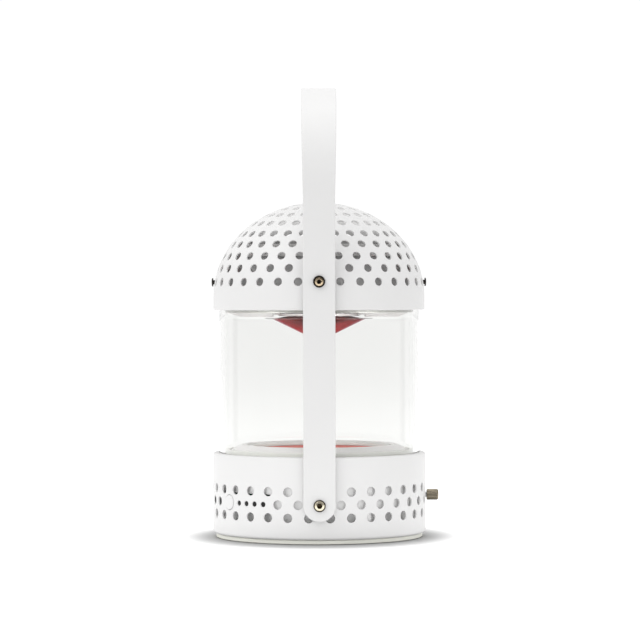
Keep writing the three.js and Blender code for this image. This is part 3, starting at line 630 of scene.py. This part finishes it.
def make_dome():
    skin = Skin(dome_meridian(DOME_RADIUS, DOME_RISE, RIM_EDGE),
                dome_meridian(DOME_RADIUS - DOME_WALL, DOME_RISE - DOME_WALL, 0), dome_locate, 0)
    bottom = 90 + DOME_SPRING - DOME_BOTTOM
    rings = [(0, 1)]
    heights = [row[0] for row in DOME_ROWS]
    between = [(a + b) / 2 for a, b in zip(heights, heights[1:])]
    for t in reversed(between):
        rings.append((90 - t, 40 if t > 70 else 80 if t > 50 else 128))
    rings += [(90 - 4.2, 160), (90, 160), (bottom - 4, 160), (bottom - RIM_EDGE, 160)]
    rings += [(bottom - RIM_EDGE * (1 - s), 160) for s in (0.4, 0.7, 0.9, 1.0)]
    vents, fills = [], []
    for i, (t, count, half) in enumerate(DOME_ROWS):
        for k in range(count):
            azimuth = (k + half / 2) * 360 / count
            radius = DOME_VENT_RADIUS
            if i == 0 and azimuth % 90 == 0:
                radius = SIDE_BOLT_HOLE if azimuth % 180 else BOLT_HOLE
            vents.append((90 - t, azimuth, radius))
            fills.append((90 - t, azimuth + 180 / count))
    perforated("dome_shell", skin, rings, fills, vents, (PAINT, INNER_COAT_PAINTED_SHADE), ["dome"])


SHELL_BOTTOM = 2.6
SHELL_TOP = 50.3
SHELL_WALL = 1.1
SHELL_LIP = 60.0
TURNED_IN = 1.6
TOP_BEND = 1.25
BUTTON_AZIMUTH = -56.25
JACK_AZIMUTH = -76.5
KNOB_AXIS = 24.6
LIGHTS_MIDDLE = -39.4
LIGHT_AZIMUTHS = [LIGHTS_MIDDLE + 5.55 * step for step in (-1.5, -0.5, 0.5, 1.5)]
VENT_ROWS = ((15.1, 0.5), (CONTROLS, 0.0), (30.2, 0.5))
VENT_COUNT = 32
VENT_PITCH = 360 / VENT_COUNT
VENT_RADIUS = 2.6
BUTTON_HOLE = 4.5
KNOB_HOLE = 2.2
GIVEN_UP = (-33.75, -45.0, BUTTON_AZIMUTH, -78.75, 90.0)  # places in the middle row that the controls take


def base_meridian(wall, turned_in):
    """The drum's height parameter runs on past the top bend, over the lip that turns in to the glass."""
    bend = SHELL_TOP - TOP_BEND

    def point(p):
        if p < SHELL_BOTTOM + TURNED_IN:
            s = (SHELL_BOTTOM + TURNED_IN - p) / TURNED_IN
            return (BASE_RADIUS - wall - turned_in * (1 - math.sqrt(max(0.0, 1 - s * s))), p)
        if p <= bend:
            return (BASE_RADIUS - wall, p)
        if p <= SHELL_TOP:
            a = math.pi / 2 * (p - bend) / TOP_BEND
            reach = TOP_BEND - wall
            return (BASE_RADIUS - TOP_BEND + reach * math.cos(a), bend + reach * math.sin(a))
        return (BASE_RADIUS - TOP_BEND - (p - SHELL_TOP), SHELL_TOP - wall)
    return point


def base_locate(point):
    return (point.z, math.degrees(math.atan2(point.x, -point.y)))


def base_vents():
    """The drum's openings, and a loose vertex between each pair of vents."""
    vents, fills = [], []
    for z, half in VENT_ROWS:
        for k in range(VENT_COUNT):
            azimuth = (k + half) * VENT_PITCH
            signed = azimuth - 360 if azimuth > 180 else azimuth
            if z == CONTROLS and signed in GIVEN_UP:
                continue
            bolt = z == CONTROLS and signed in (0, 180)
            vents.append((z, azimuth, BOLT_HOLE if bolt else VENT_RADIUS))
            fills.append((z, azimuth + VENT_PITCH / 2))
    vents += [(CONTROLS, azimuth, LIGHT_RADIUS) for azimuth in LIGHT_AZIMUTHS]
    vents += [(CONTROLS, BUTTON_AZIMUTH, BUTTON_HOLE), (CONTROLS, JACK_AZIMUTH, VENT_RADIUS)]
    vents.append((KNOB_AXIS, 90.0, KNOB_HOLE))
    return vents, fills


def make_base():
    skin = Skin(base_meridian(0, TURNED_IN), base_meridian(SHELL_WALL, TURNED_IN - 0.7), base_locate, 40)
    low = [SHELL_BOTTOM + TURNED_IN * s for s in (0, 0.03, 0.12, 0.3, 0.6, 1.0)]
    high = [SHELL_TOP - TOP_BEND * s for s in (1.0, 0.8, 0.6, 0.4, 0.2, 0)]
    lip = [SHELL_TOP + 0.6, SHELL_TOP + BASE_RADIUS - TOP_BEND - SHELL_LIP]
    rings = [(z, 192) for z in low + [5.5, 10.2, 18.9, 26.45, 35.0, 40.0, 45.0] + high + lip]
    vents, fills = base_vents()
    perforated("base_drum", skin, rings, fills, vents, (PAINT, INNER_COAT_PAINTED_LIGHT), ["base_shell"])


make_dome()
make_base()

# ---------------------------------------------------------------- foot

turned("foot", [(0, 0), (61.5, 0), (61.5, 2.5), (0, 2.5)], 0.6, FOOT_SILICONE, ["foot_pad"],
       segments=160)

# ---------------------------------------------------------------- deck, trim, gaskets, glass

turned("deck_ring",
       [(45, 45), (61.8, 45), (61.8, 48.1), (53.7, 48.1), (53.7, 51.5), (50.5, 51.5), (50.5, 48.2),
        (45, 48.2)],
       0.3, WHITE_PLASTIC, ["deck"])
turned("trim_bezel",
       [(43.3, 51.7), (51.6, 51.7), (51.6, 52.6), (46.8, 55), (45.2, 55), (44.9, 54.7), (44.5, 55),
        (43.3, 55)],
       0.35, TRIM_PLASTIC, ["trim_ring"], segments=160)
turned("lower_seal",
       [(54, 48.3), (59.3, 48.3), (59.3, 48.9), (56.2, 48.9), (56.2, 52.4), (54, 52.4)],
       0.4, GASKET, ["lower_gasket"])
turned("upper_seal",
       [(54, 133.6), (56.2, 133.6), (56.2, 137.1), (59.3, 137.1), (59.3, 137.7), (54, 137.7)],
       0.4, GASKET, ["upper_gasket"])
turned("chimney", [(56.5, 49), (59.5, 49), (59.5, 137), (56.5, 137)], 0.5, GLASS, ["glass_chimney"],
       segments=192)

# ---------------------------------------------------------------- loudspeaker

FOOT_OF_ROLL = 52.4
ROLL_MIDDLE = 40.8


def roll(radius, start, end, steps=10):
    angles = [math.radians(start + (end - start) * k / steps) for k in range(steps + 1)]
    return [(ROLL_MIDDLE + radius * math.cos(a), FOOT_OF_ROLL + radius * math.sin(a)) for a in angles]


def ribbed_cone():
    """The diaphragm's profile: curved up to a flat rim, with three shallow ribs pressed round it."""
    top, steps = [], 56
    for k in range(steps + 1):
        t = k / steps
        slope = 39.4 + 12.8 * t - 1.1 * math.sin(math.pi * t)
        ribs = sum(0.3 * math.exp(-((t - at) / 0.022) ** 2) for at in (0.45, 0.62, 0.79))
        top.append((12.35 + (38.0 - 12.35) * t, slope + ribs))
    top += [(38.3, 52.2), (40.2, 52.2)]
    under = [(r, z - 0.7) for r, z in reversed(top)]
    return top[::-1] + under[::-1]


turned("cone_diaphragm", ribbed_cone(), 0.01, CONE_PAPER, ["diaphragm"], body="diaphragm")


def make_roll(count=16, steps=8):
    """The rubber roll, in equal sectors."""
    profile = rounded([(46.4, 50.2), (46.4, 51.0), (43.3, 51.0)] + roll(2.2, 0, 180) + roll(1.6, 180, 0)
                      + [(42.3, 50.2)], 0.05)
    around, seam = len(profile), 0.015
    for k in range(count):
        middle, half = 360 / count * k, 180 / count - seam
        turns = [middle + half * (2 * i / steps - 1) for i in range(steps + 1)]
        verts = [polar(r, azimuth, z) for azimuth in turns for r, z in profile]
        faces = [(i * around + j, (i + 1) * around + j, (i + 1) * around + (j + 1) % around,
                  i * around + (j + 1) % around) for i in range(steps) for j in range(around)]
        faces += [tuple(range(around)), tuple(range(steps * around, (steps + 1) * around))[::-1]]
        piece = mesh_piece(f"rubber_roll_{k + 1}", verts, faces, SURROUND_RUBBER, None,
                           [] if k else ["surround"])
        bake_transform(piece)


make_roll()
turned("coil_former", [(11.5, 26), (12.2, 26), (12.2, 40), (11.5, 40)], 0.05, COPPER, ["voice_coil"],
       body="diaphragm", segments=64)


def corrugated():
    """The centring spider's profile: a cloth disc pressed into waves."""
    top = [(12.35 + 16.0 * k / 60, 36.2 + 0.25 * math.sin(TAU * 5 * k / 60)) for k in range(61)]
    return top[::-1] + [(r, z - 0.3) for r, z in top]


turned("cloth_spider", corrugated(), 0.01, SPIDER_CLOTH, ["centring_spider"], segments=96)
turned("magnet", [(14, 17.6), (22, 17.6), (22, 27), (14, 27)], 0.5, FERRITE, ["driver_magnet"])
turned("pole_plate", [(12.7, 27.1), (22, 27.1), (22, 30.6), (12.7, 30.6)], 0.3, ZINC, ["driver_top_plate"])
turned("pole_piece", [(4.2, 14), (21, 14), (21, 17.5), (11, 17.5), (11, 31), (4.2, 31)], 0.4, ZINC,
       ["driver_yoke"])

# ---------------------------------------------------------------- lamp

turned("lamp_column",
       [(0, 12.6), (3.6, 12.6), (3.6, 31.2), (9.4, 31.2), (9.4, 34.6), (8.9, 34.9), (9.4, 35.2), (9.4, 38.6),
        (8.9, 38.9), (9.4, 39.2), (9.4, 43), (6.4, 50), (0, 50)],
       0.3, ALUMINIUM, ["lamp_post"], segments=96)
turned("lamp_disc", [(0, 50.1), (6, 50.1), (6, 51.1), (0, 51.1)], 0.2, WHITE_PLASTIC, ["lamp_board"],
       segments=64)
turned("lamp_dome",
       [(0, 51.2), (4.2, 51.2), (4.0, 51.9), (3.4, 52.6), (2.4, 53.0), (1.2, 53.25), (0, 53.3)],
       0.2, LENS, ["lamp_lens"], segments=64)

# ---------------------------------------------------------------- cap: ring, cone, deflector


def bevelled(solid, radius):
    """The vertices and faces of a bmesh whose edges are all bevelled. The bmesh is freed."""
    bmesh.ops.bevel(solid, geom=list(solid.edges), offset=radius, segments=3, profile=0.5, affect="EDGES")
    verts = [tuple(v.co) for v in solid.verts]
    faces = [[v.index for v in f.verts] for f in solid.faces]
    solid.free()
    return verts, faces


def bevelled_box(low, high, radius):
    box = bmesh.new()
    bmesh.ops.create_cube(box, size=1)
    size = [h - l for l, h in zip(low, high)]
    middle = [(l + h) / 2 for l, h in zip(low, high)]
    for v in box.verts:
        v.co = [c * s + m for c, s, m in zip(v.co, size, middle)]
    return bevelled(box, radius)


def swung(verts, azimuth):
    turn = mathutils.Matrix.Rotation(math.radians(azimuth), 4, "Z")
    return [tuple(turn @ mathutils.Vector(v)) for v in verts]


def white_piece(name, solid, azimuth):
    """A moulded piece of the cap that swings from the front to its azimuth."""
    verts, faces = solid
    mesh_piece(name, swung(verts, azimuth), faces, WHITE_PLASTIC, "housing", [])


turned("cap_ring", [(52, 137.8), (61.3, 137.8), (61.3, 141.8), (52, 141.8)], 0.5, WHITE_PLASTIC, ["top_ring"])
turned("cap_hub", [(2.1, 137.8), (14, 137.8), (14, 141.8), (2.1, 141.8)], 0.4, WHITE_PLASTIC, [])
for i in range(4):
    white_piece(f"cap_spoke_{i + 1}", bevelled_box((-3.5, -53, 137.9), (3.5, -13, 141.7), 0.5), 45 + 90 * i)
    white_piece(f"cap_lug_{i + 1}", bevelled_box((-5, -59, 141), (5, -55.4, 155), 0.5), 90 * i)

turned("cone_seat", [(2.1, 133.95), (23.6, 133.95), (23.6, 137.7), (2.1, 137.7)], 0.3, WHITE_PLASTIC,
       ["cone_spacer"])
# A black ring in the gap under the cone seat: a dark part standing in for the shadow in that gap, painted shade.
turned("painted_shade_washer", [(2.1, 133.15), (24, 133.15), (24, 133.85), (2.1, 133.85)], 0.15, BLACK_PLASTIC,
       ["cone_washer"])
turned("bridge_hub", [(2.1, 131.5), (24.2, 131.5), (24.2, 133.05), (2.1, 133.05)], 0.3, WHITE_PLASTIC,
       ["cone_bridge"])


def make_bridge_arm(name, azimuth):
    """An arm of the cone's bridge: a thin link to the hub, then a deep bar whose outer end is cut away."""
    outline = [(20, 132.2), (27.4, 132.2), (27.4, 130.9), (46.5, 130.9), (53, 133.3), (53, 134.4),
               (27.4, 134.4), (27.4, 133.0), (20, 133.0)]
    half = 7.0
    bar = bmesh.new()
    front = [bar.verts.new((-half, -r, z)) for r, z in outline]
    back = [bar.verts.new((half, -r, z)) for r, z in outline]
    bar.faces.new(front)
    bar.faces.new(back[::-1])
    for k in range(len(outline)):
        m = (k + 1) % len(outline)
        bar.faces.new((front[m], front[k], back[k], back[m]))
    bmesh.ops.recalc_face_normals(bar, faces=list(bar.faces))
    white_piece(name, bevelled(bar, 0.35), azimuth)


for i in range(4):
    make_bridge_arm(f"bridge_arm_{i + 1}", 90 * i)

turned("clear_skirt", [(27.9, 129.75), (32.2, 129.75), (32.2, 130.15), (27.9, 130.15)], 0.12,
       CLEAR_PLASTIC, ["cone_skirt"])
turned("mirror_cone", [(0, 116.4), (1.0, 116.6), (27.7, 129.6), (27.7, 130.0), (18.6, 131.3), (0, 131.3)],
       0.3, ROSE_MIRROR, ["reflector_cone"], segments=160)
turned("sound_cup",
       [(0, 166.5), (44.5, 166.5), (46.5, 164.5), (46.5, 149), (44.7, 149), (44.7, 163.9), (9, 163.9),
        (9, 141.9), (5.2, 141.9), (5.2, 145), (0, 145)],
       0.8, CUP_PLASTIC, ["deflector"])
turned("cup_band", [(41, 166.6), (46.3, 166.6), (46.3, 173.8), (41, 173.8)], 0.7, WHITE_PLASTIC,
       ["deflector_band"])

# ---------------------------------------------------------------- strap

STRAP_HALF = 9.3
STRAP_FLARE = 0.115
STRAP_INSIDE = 64.0
STRAP_THICKNESS = 3.0
STRAP_OUTSIDE = STRAP_INSIDE + STRAP_THICKNESS
STRAP_SPRING = 200.3
STRAP_EDGE = 0.55


def strap_point(x, along, out):
    """A strap point: across it, along its inner face from the crown, and out from that face."""
    x, y, z = straight_strap_point(x, along, out)
    rise = min(1.0, max(0.0, (z - STRAP_SPRING) / STRAP_OUTSIDE))
    return (x * (1 + STRAP_FLARE * math.sin(rise * math.pi / 2)), y, z)


def straight_strap_point(x, along, out):
    side = -1 if along < 0 else 1
    quarter = STRAP_INSIDE * math.pi / 2
    reach = abs(along)
    if reach <= quarter:
        a = reach / STRAP_INSIDE
        r = STRAP_INSIDE + out
        return (x, side * r * math.sin(a), STRAP_SPRING + r * math.cos(a))
    return (x, side * (STRAP_INSIDE + out), STRAP_SPRING - (reach - quarter))


def make_strap():
    end = STRAP_INSIDE * math.pi / 2 + STRAP_SPRING - CONTROLS
    arch = [STRAP_INSIDE * math.pi / 2 * k / 48 for k in range(-48, 49)]
    levels = []
    for k in range(5):
        t = math.radians(90 * k / 4)
        levels.append((STRAP_EDGE * (1 - math.sin(t)), STRAP_EDGE * (1 - math.cos(t))))
    levels += [(inset, STRAP_THICKNESS - out) for inset, out in reversed(levels)]

    def stations(inset):
        half = STRAP_HALF - inset
        angles = [math.pi / 2 * k / 16 for k in range(16)]
        tips = [(half * math.cos(a), end + half * math.sin(a)) for a in angles]
        legs = [(half, s) for s in (end - 1, end - 60, arch[-1] + 40)]
        right = [(0.0, end + half)] + tips[::-1] + legs
        middle = [(half, s) for s in reversed(arch)]
        left = [(w, -s) for w, s in reversed(right)]
        return right + middle + left

    verts, rows = [], []
    for inset, out in levels:
        points = stations(inset)
        side_a = [strap_point(w, s, out) for w, s in points]
        side_b = [strap_point(-w, s, out) for w, s in points[-2:0:-1]]
        rows.append(list(range(len(verts), len(verts) + len(side_a) + len(side_b))))
        verts.extend(side_a + side_b)
    count = len(stations(0))
    total = len(rows[0])
    faces = []
    for low, high in zip(rows, rows[1:]):
        for k in range(total):
            m = (k + 1) % total
            faces.append([low[m], low[k], high[k], high[m]])
    for row, flip in ((rows[0], False), (rows[-1], True)):
        for k in range(count - 1):
            quad = [row[k], row[k + 1], row[(total - k - 1) % total], row[(total - k) % total]]
            quad = [v for n, v in enumerate(quad) if v != quad[n - 1]]
            if len(quad) > 2:
                faces.append(quad[::-1] if flip else quad)
    mesh_piece("carrying_strap", verts, faces, STRAP_PAINT, "housing", ["strap_handle"])


make_strap()

# ---------------------------------------------------------------- fasteners


def stacked(rows):
    """The faces between closed rows of vertices."""
    count = len(rows[0])
    return [[low[k], low[(k + 1) % count], high[(k + 1) % count], high[k]]
            for low, high in zip(rows, rows[1:]) for k in range(count)]


def hex_radius(flat, turn):
    """How far a hexagon's side is from its middle, at an angle."""
    return flat / math.cos(turn % (TAU / 6) - TAU / 12)


def screw(name, azimuth, height, seat, size, material, node):
    """A socket button head with a rounded rim, a chamfered hexagon socket and a plain shank. The size is the
    head's radius, its height, the shank's radius and length, and half the socket's width over flats."""
    head, rise, shank, length, flat = size
    count, verts, rows = 48, [], []
    turns = [TAU * k / count for k in range(count)]
    outer = [(shank, seat - length), (shank, seat), (head - 0.2, seat), (head, seat + 0.2),
             (head, seat + rise * 0.3)]
    crown = head - flat - 0.45
    outer += [(head - crown * (1 - math.cos(a)), seat + rise * (0.3 + 0.68 * math.sin(a)))
              for a in (math.pi / 2 * k / 6 for k in range(1, 7))]
    outer += [(flat + 0.35, seat + rise)]
    socket = [(flat + 0.08, seat + rise - 0.15), (flat, seat + rise - 0.35), (flat, seat + rise * 0.3)]
    rings = [([r] * count, z) for r, z in outer]
    rings += [([hex_radius(across, turn) for turn in turns], z) for across, z in socket]
    for radii, z in rings:
        rows.append([len(verts) + k for k in range(count)])
        verts += [(r * math.cos(turn), r * math.sin(turn), z) for r, turn in zip(radii, turns)]
    faces = stacked(rows)
    for row, z, flip in ((rows[0], seat - length, True), (rows[-1], seat + rise * 0.2, False)):
        verts.append((0, 0, z))
        for k in range(count):
            tri = [row[k], row[(k + 1) % count], len(verts) - 1]
            faces.append(tri[::-1] if flip else tri)
    mesh_piece(name, outward(verts, azimuth, height), faces, material, "housing", [node], sharp=30)


M4_BUTTON = (3.5, 2.1, 1.75, 12, 1.25)
M3_BUTTON = (2.6, 1.0, 1.3, 8, 0.95)
for side, azimuth in (("front", 0), ("rear", 180)):
    screw(f"cap_bolt_{side}", azimuth, DOME_BOLTS, STRAP_OUTSIDE + 0.1, M4_BUTTON, CAP_SCREW,
          f"dome_screw_{side}")
    screw(f"drum_bolt_{side}", azimuth, CONTROLS, STRAP_OUTSIDE + 0.1, M4_BUTTON, DRUM_SCREW,
          f"base_screw_{side}")
    verts, faces = lathe(rounded([(2.2, 63.05), (4.2, 63.05), (4.2, 63.95), (2.2, 63.95)], 0.15), 48)
    mesh_piece(f"spacer_{side}", outward(verts, azimuth, DOME_BOLTS), faces, SPACER_STEEL, "housing",
               [f"strap_washer_{side}"])
for side, azimuth in (("right", 90), ("left", -90)):
    screw(f"cap_bolt_{side}", azimuth, DOME_BOLTS, DOME_RADIUS + 0.1, M3_BUTTON, DARK_SCREW,
          f"dome_screw_{side}")

# ---------------------------------------------------------------- controls


def make_knob():
    """Straight-knurled barrel with a rounded end and a shallow dish in its face."""
    ridges, samples = 20, 10
    count = ridges * samples
    profile = [(1.7, 64.05, 0), (2.8, 64.05, 0), (3.1, 64.25, 0), (3.2, 64.5, 1), (3.2, 70.2, 1),
               (3.14, 70.55, 0.5), (2.95, 70.9, 0), (2.6, 71.13, 0), (2.2, 71.2, 0), (2.0, 71.12, 0),
               (1.0, 70.9, 0)]
    verts, rows = [], []
    for r, z, knurl in profile:
        rows.append([len(verts) + k for k in range(count)])
        for k in range(count):
            ridge = 0.5 - 0.5 * math.cos(TAU * ridges * k / count)
            radius = r + knurl * 0.16 * (ridge ** 0.6 - 0.5)
            verts.append((radius * math.cos(TAU * k / count), radius * math.sin(TAU * k / count), z))
    faces = stacked(rows)
    verts.append((0, 0, 70.86))
    faces += [[rows[-1][k], rows[-1][(k + 1) % count], len(verts) - 1] for k in range(count)]
    faces.append(rows[0][::-1])
    mesh_piece("knurled_knob", outward(verts, 90, KNOB_AXIS), faces, KNOB_METAL, "knob", ["control_knob"],
               sharp=50)


def radial_turned(name, profile, radius, azimuth, height, material, nodes, body="housing", segments=64):
    """A turned piece whose axis points outwards; the profile's heights are distances from the drum's axis."""
    verts, faces = lathe(rounded(profile, radius), segments)
    mesh_piece(name, outward(verts, azimuth, height), faces, material, body, nodes)


make_knob()
radial_turned("knob_shaft", [(0, 53.5), (1.5, 53.5), (1.5, 69), (0, 69)], 0.2, 90, KNOB_AXIS, ZINC,
              ["control_shaft"], "knob")
radial_turned("push_button",
              [(0, 60), (5.1, 60), (5.1, 61.3), (4.3, 61.3), (4.3, 63.5), (3.9, 63.9), (2.8, 64.02),
               (0, 64.1)],
              0.25, BUTTON_AZIMUTH, CONTROLS, PAINT, ["power_button"], "button", 96)
radial_turned("socket_barrel",
              [(0, 49), (3.4, 49), (3.4, 61.6), (2.3, 61.7), (2.3, 63.1), (1.95, 63.1), (1.95, 53),
               (0.55, 53), (0.5, 59.5), (0, 60)],
              0.15, JACK_AZIMUTH, CONTROLS, BLACK_PLASTIC, ["charging_jack"])
verts, faces = bevelled_box((-10.5, -59.4, 21), (10.5, -57.4, 24.4), 0.3)
mesh_piece("light_bar", swung(verts, LIGHTS_MIDDLE), faces, BLACK_PLASTIC, "housing", ["status_light_pipe"])
for i, azimuth in enumerate(LIGHT_AZIMUTHS):
    radial_turned(f"light_pin_{i + 1}", [(0, 58.5), (1.35, 58.5), (1.35, 63.1), (0, 63.1)], 0.3, azimuth,
                  CONTROLS, INDICATOR, [], segments=24)

# ---------------------------------------------------------------- inner parts kept from the model

KEPT = {
    "bottom_plate": WHITE_PLASTIC, "base_frame": FRAME_PLASTIC_PAINTED_LIGHT, "battery_tray": BLACK_PLASTIC,
    "driver_basket": BLACK_PLASTIC, "battery_cell_front": CELL_WRAP, "battery_cell_rear": CELL_WRAP,
    "main_board": BOARD, "control_board": BOARD, "dimmer_board": BOARD, "power_switch": BLACK_PLASTIC,
    "dimmer_pot": ZINC, "speaker_lead": BLACK_PLASTIC, "cone_screw": ZINC,
    "bottom_screw_1": ZINC, "bottom_screw_2": ZINC, "bottom_screw_3": ZINC,
}
for name, material in KEPT.items():
    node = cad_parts[name]
    node.data.materials.clear()
    node.data.materials.append(material)
    edge = node.modifiers.new("edge", "BEVEL")
    edge.width = 0.25 * MM
    edge.segments = 2
    edge.limit_method = "ANGLE"
    edge.angle_limit = math.radians(40)

# ---------------------------------------------------------------- stage and light

THROWN = 0.5  # how much light the sweep throws back at the object from round its foot
GLOW_THROUGH_GLASS = 0.25
BACKDROP = 1.03  # how bright the studio is where it is seen


def floor_material():
    """A pale sweep that is lit from below away from the object, with a painted contact shadow, soft grey, where
    the object touches it.
    Seen through the glass, the light from below is weaker. What the sweep throws back at the object comes
    from a band round the foot."""
    n = Nodes("floor")
    narrowed = n.vector("MULTIPLY", n.place, (1, 0.88, 1))["Vector"]
    distance = n.vector("LENGTH", narrowed)["Value"]
    # Painted contact shadow: the floor's colour darkens towards the foot.
    painted_contact_shadow = n.ramp(distance, [(0.058, grey(0.5)), (0.07, grey(0.7)), (0.086, grey(1.0))])
    n.colour(n.tinted(painted_contact_shadow, n.ramp(n.noise(3, 3), [(0.3, grey(0.78)), (0.7, grey(0.79))])))
    n.rough(n.spread(n.noise(40, 2), 0.85, 0.95))
    n.normal(n.bump(n.noise(400, 2), 0.00002, 0.2))
    # The glow from below fades out near the foot, deepening the painted contact shadow.
    glow = n.ramp(distance, [(0.068, grey(0)), (0.092, grey(0.55)), (0.4, grey(0.6)), (0.95, grey(0.55))])
    thrown = n.ramp(distance, [(0.062, grey(0)), (0.068, grey(THROWN)), (0.085, grey(THROWN)),
                               (0.15, grey(0.5 * THROWN)), (0.3, grey(0))])
    path = n.add("ShaderNodeLightPath").outputs
    emitted = n.add("ShaderNodeMix", data_type="RGBA")
    n.link(path["Is Diffuse Ray"], emitted.inputs["Factor"])
    n.link(glow, emitted.inputs["A"])
    n.link(thrown, emitted.inputs["B"])
    n.link(emitted.outputs["Result"], n.shader.inputs["Emission Color"])
    strength = n.spread(path["Is Transmission Ray"], 1.0, GLOW_THROUGH_GLASS)
    n.link(strength, n.shader.inputs["Emission Strength"])
    n.set(Specular_IOR_Level=0.1)
    n.material.cycles.emission_sampling = "NONE"
    return n.material


def make_floor():
    half = 14
    data = bpy.data.meshes.new("floor")
    corners = [(-half, -half, 0), (half, -half, 0), (half, half, 0), (-half, half, 0)]
    data.from_pydata(corners, [], [[0, 1, 2, 3]])
    data.materials.append(floor_material())
    floor = bpy.data.objects.new("floor", data)
    floor.location.z = -0.0002
    bpy.context.scene.collection.objects.link(floor)


def make_world(strength, dark):
    """A white studio. Polished parts see it darker round the place where the photographer stands, and it is a
    clean white where it is seen directly or through the glass."""
    world = bpy.data.worlds.new("studio")
    world.use_nodes = True
    n = Tree(world.node_tree)
    towards = n.split(n.add("ShaderNodeTexCoord").outputs["Generated"])["Y"]
    front = n.add("ShaderNodeMapRange", {"Value": towards, "From Min": -0.5, "From Max": -0.9},
                  interpolation_type="SMOOTHSTEP").outputs["Result"]
    path = n.add("ShaderNodeLightPath").outputs
    glossy = n.maths("MULTIPLY", front, path["Is Glossy Ray"])
    seen = n.maths("MAXIMUM", path["Is Camera Ray"], path["Is Transmission Ray"])
    backdrop = n.mix(seen, n.mix(glossy, strength, dark), BACKDROP)
    background = n.tree.nodes["Background"]
    background.inputs["Color"].default_value = (1, 1, 1, 1)
    n.link(backdrop, background.inputs["Strength"])
    bpy.context.scene.world = world


def softbox(name, place, aim, size, watts, hidden=False):
    """A rectangular lamp. A hidden one lights the object but is not itself seen or reflected."""
    light = bpy.data.lights.new(name, "AREA")
    light.shape = "RECTANGLE"
    light.size, light.size_y = size
    light.energy = watts
    lamp = bpy.data.objects.new(name, light)
    lamp.location = place
    aim_at = mathutils.Vector(aim) - mathutils.Vector(place)
    lamp.rotation_mode = "QUATERNION"
    lamp.rotation_quaternion = aim_at.to_track_quat("-Z", "Y")
    if hidden:
        lamp.visible_camera = False
        lamp.visible_glossy = False
        lamp.visible_transmission = False
    bpy.context.scene.collection.objects.link(lamp)


make_floor()
make_world(0.99, 0.12)
softbox("key", (-1.4, -1.1, 1.7), (0, 0, 0.12), (0.8, 0.8), 7.5)
softbox("top", (0.0, 0.0, 2.2), (0, 0, 0.1), (1.8, 1.8), 11)
softbox("low_front", (0.0, -0.42, 0.03), (0, 0, 0.01), (0.5, 0.04), 0.06, True)
softbox("before_bridge", (0, -0.052, 0.124), (0, 0, 0.136), (0.06, 0.008), 0.02, True)
softbox("in_dome", (0, 0, 0.177), (0, 0, 0.3), (0.06, 0.06), 0.02, True)

scene = bpy.context.scene
scene.view_settings.view_transform = "Standard"
scene.view_settings.look = "None"
scene.view_settings.exposure = 0
scene.view_settings.gamma = 1
